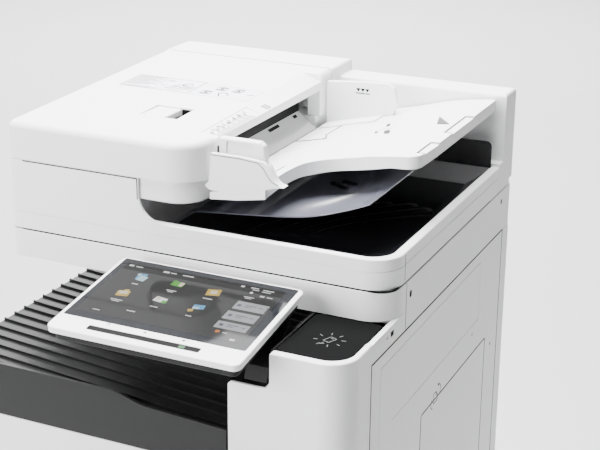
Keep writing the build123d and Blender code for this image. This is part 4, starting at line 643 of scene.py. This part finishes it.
# Painted shadow: a dark band round the reader seat stands in for the shadow under the overhanging rim of the
# feeder base.
Piece("reader_seat_shadow", BLACK_AND_SHADE, "machine", "inlet_black").line(
    tile(0, 63.5, 560.5, 424.5, 0, 24), 2.4, SEAT_FACE, -0.2, 2.1, closed=True).done()
# Painted shade: a dark line stands in for the shade in the seam between the feeder cover and the rear
# housing.
Piece("cover_seam_line", SEAM_SHADE, "feeder", "inlet_black").line(
    [(-270, 278.9), (6, 278.9)], 1.6, flat((0, 0, H), (1, 0, 0), (0, 1, 0)), -0.4, 0.1).done()
edge = Piece("feeder_edge_shadow", BLACK_AND_SHADE, "feeder", "inlet_black")
edge.line([(-258, 1078.3), (-77.6, 1078.3), (-77.6, 1050)], 1.7,
          flat((0, COVER_FRONT, 0), (1, 0, 0), (0, 0, 1)), -0.3, 0.06).done()
Piece("tray_back_wall", DOC_TRAY, "feeder", "document_tray").prism(
    [(20, 1021.6), (272, 1021.6)] + arc(264, 1054, 8, 0, 90, 8) + [(20, 1062)],
    flat((0, HOUSING_Y, 0), (1, 0, 0), (0, 0, 1)), -0.3, 0.4).done()
Piece("front_wall_line", INK_SOFT, "feed_tray", "light_grey").line(
    [(16, 1115.6), (58, 1115.6), (84, 1113.4), (91.5, 1107), (98, 1097), (104, 1090.3), (113, 1087.2)], 1.1,
    flat((0, TRAY_FRONT, 0), (1, 0, 0), (0, 0, 1)), -0.3, 0.08).done()
low, high = span("panel_arm")
# Painted shade: a near-black plate on the floor of the pillar notch, under the panel arm, where shade falls.
Piece("notch_painted_shade", BLACK_AND_SHADE, "machine", "tray_black").prism(
    [(127, -283.5), (181, -283.5), (181, -214), (127, -214)],
    flat((0, 0, low[2] - 0.2), (1, 0, 0), (0, 1, 0)), -0.3, 0.1).done()

# cassette fronts: level window, its bar and the tray dots
for i in range(1, 5):
    low, high = span(f"cassette_front_{i}")
    face = flat((0, low[1], 0), (1, 0, 0), (0, 0, 1))
    ride, mid = f"cassette_{i}", high[2] - 26
    window = Piece(f"level_window_{i}", BLACK_AND_SHADE, ride, "inlet_black")
    window.prism(tile(218, mid, 30, 6, 0, 1.5), face, -0.5, 0.08).done()
    Piece(f"level_bar_{i}", ORANGE, ride, "light_grey").prism(
        tile(210 + 2 * i, mid, 9, 3.4, 0, 0.6), face, -0.2, 0.16).done()
    marks = Piece(f"cassette_marks_{i}", INK_SOFT, ride, "light_grey")
    for dot in range(i):
        marks.prism(spot(-232 + dot * 7, mid, 1.9, 16), face)
    marks.line([(-246, mid - 4), (-246, mid + 4), (-240, mid + 4), (-240, mid - 4)], 0.6, face, closed=True)
    marks.tiles([(218, mid + 6.4, 14, 0.8), (218, mid - 6.4, 10, 0.8)], face).done()

# rear: rating label and its lines
plate = Piece("rating_label", LABEL, "machine", "light_grey")
plate.prism(tile(180, 300, 90, 46, 0, 2), BACK_FACE, -0.3, 0.12).done()
rating = Piece("rating_lines", INK, "machine", "light_grey")
rating.tiles([(180, 316 - 5 * r, (70, 58, 64, 40, 66, 52)[r], 1.1) for r in range(6)], BACK_FACE, 0.0, 0.2)
rating.line(tile(180, 300, 86, 42, 0, 1.5), 0.6, BACK_FACE, 0.0, 0.2, closed=True).done()

# ------------------------------------------------------------------ camera, light and floor
CAMERA_AT = (0.8328, -1.6242, 1.6362)
CAMERA_YAW, CAMERA_DOWN, CAMERA_ROLL = (math.radians(a) for a in (24.64, 17.84, 0.58))
SKY_STRENGTH, FLOOR_REACH = 0.13, 9
camera = bpy.data.objects.new("camera", bpy.data.cameras.new("camera"))
bpy.context.collection.objects.link(camera)
camera.data.lens = 83.02
camera.data.sensor_width = 36.0
camera.data.shift_y = -0.08
camera.data.clip_end = 60.0
camera.matrix_world = (Matrix.Translation(CAMERA_AT) @ Matrix.Rotation(CAMERA_YAW, 4, "Z")
                       @ Matrix.Rotation(math.pi / 2 - CAMERA_DOWN, 4, "X")
                       @ Matrix.Rotation(CAMERA_ROLL, 4, "Z"))
bpy.context.scene.camera = camera


def soft_light(name, place, target, size, power, tone=(1, 1, 1)):
    """Square soft box aimed at a point."""
    lamp = bpy.data.lights.new(name, "AREA")
    lamp.energy, lamp.size, lamp.color = power, size, tone
    holder = bpy.data.objects.new(name, lamp)
    holder.location = place
    holder.rotation_euler = (Vector(target) - Vector(place)).to_track_quat("-Z", "Y").to_euler()
    bpy.context.collection.objects.link(holder)


soft_light("top_box", (-0.2, 0.0, 2.65), (-0.05, 0, 1.0), 1.5, 225)
soft_light("front_box", (-1.7, -3.1, 1.9), (0, 0, 0.9), 2.2, 285)
soft_light("back_box", (-1.0, 3.2, 2.2), (0, 0, 0.8), 2.0, 40)
soft_light("floor_box", (-2.6, 5.2, 4.2), (-2.6, 5.2, 0), 5.0, 1150)
world = bpy.data.worlds.new("studio")
bpy.context.scene.world = world
world.use_nodes = True
world.node_tree.nodes["Background"].inputs["Color"].default_value = (1, 1, 1, 1)
world.node_tree.nodes["Background"].inputs["Strength"].default_value = SKY_STRENGTH

floor_mesh = bpy.data.meshes.new("floor")
corners = [(x * FLOOR_REACH, y * FLOOR_REACH, 0) for x, y in ((-1, -1), (1, -1), (1, 1), (-1, 1))]
floor_mesh.from_pydata(corners, [], [(0, 1, 2, 3)])
floor = bpy.data.objects.new("floor", floor_mesh)
bpy.context.collection.objects.link(floor)
floor_mesh.materials.append(moulded("floor_pale", grey(0.74), 0.8, grain=40, depth=0.0002, drift=0.02).mat)
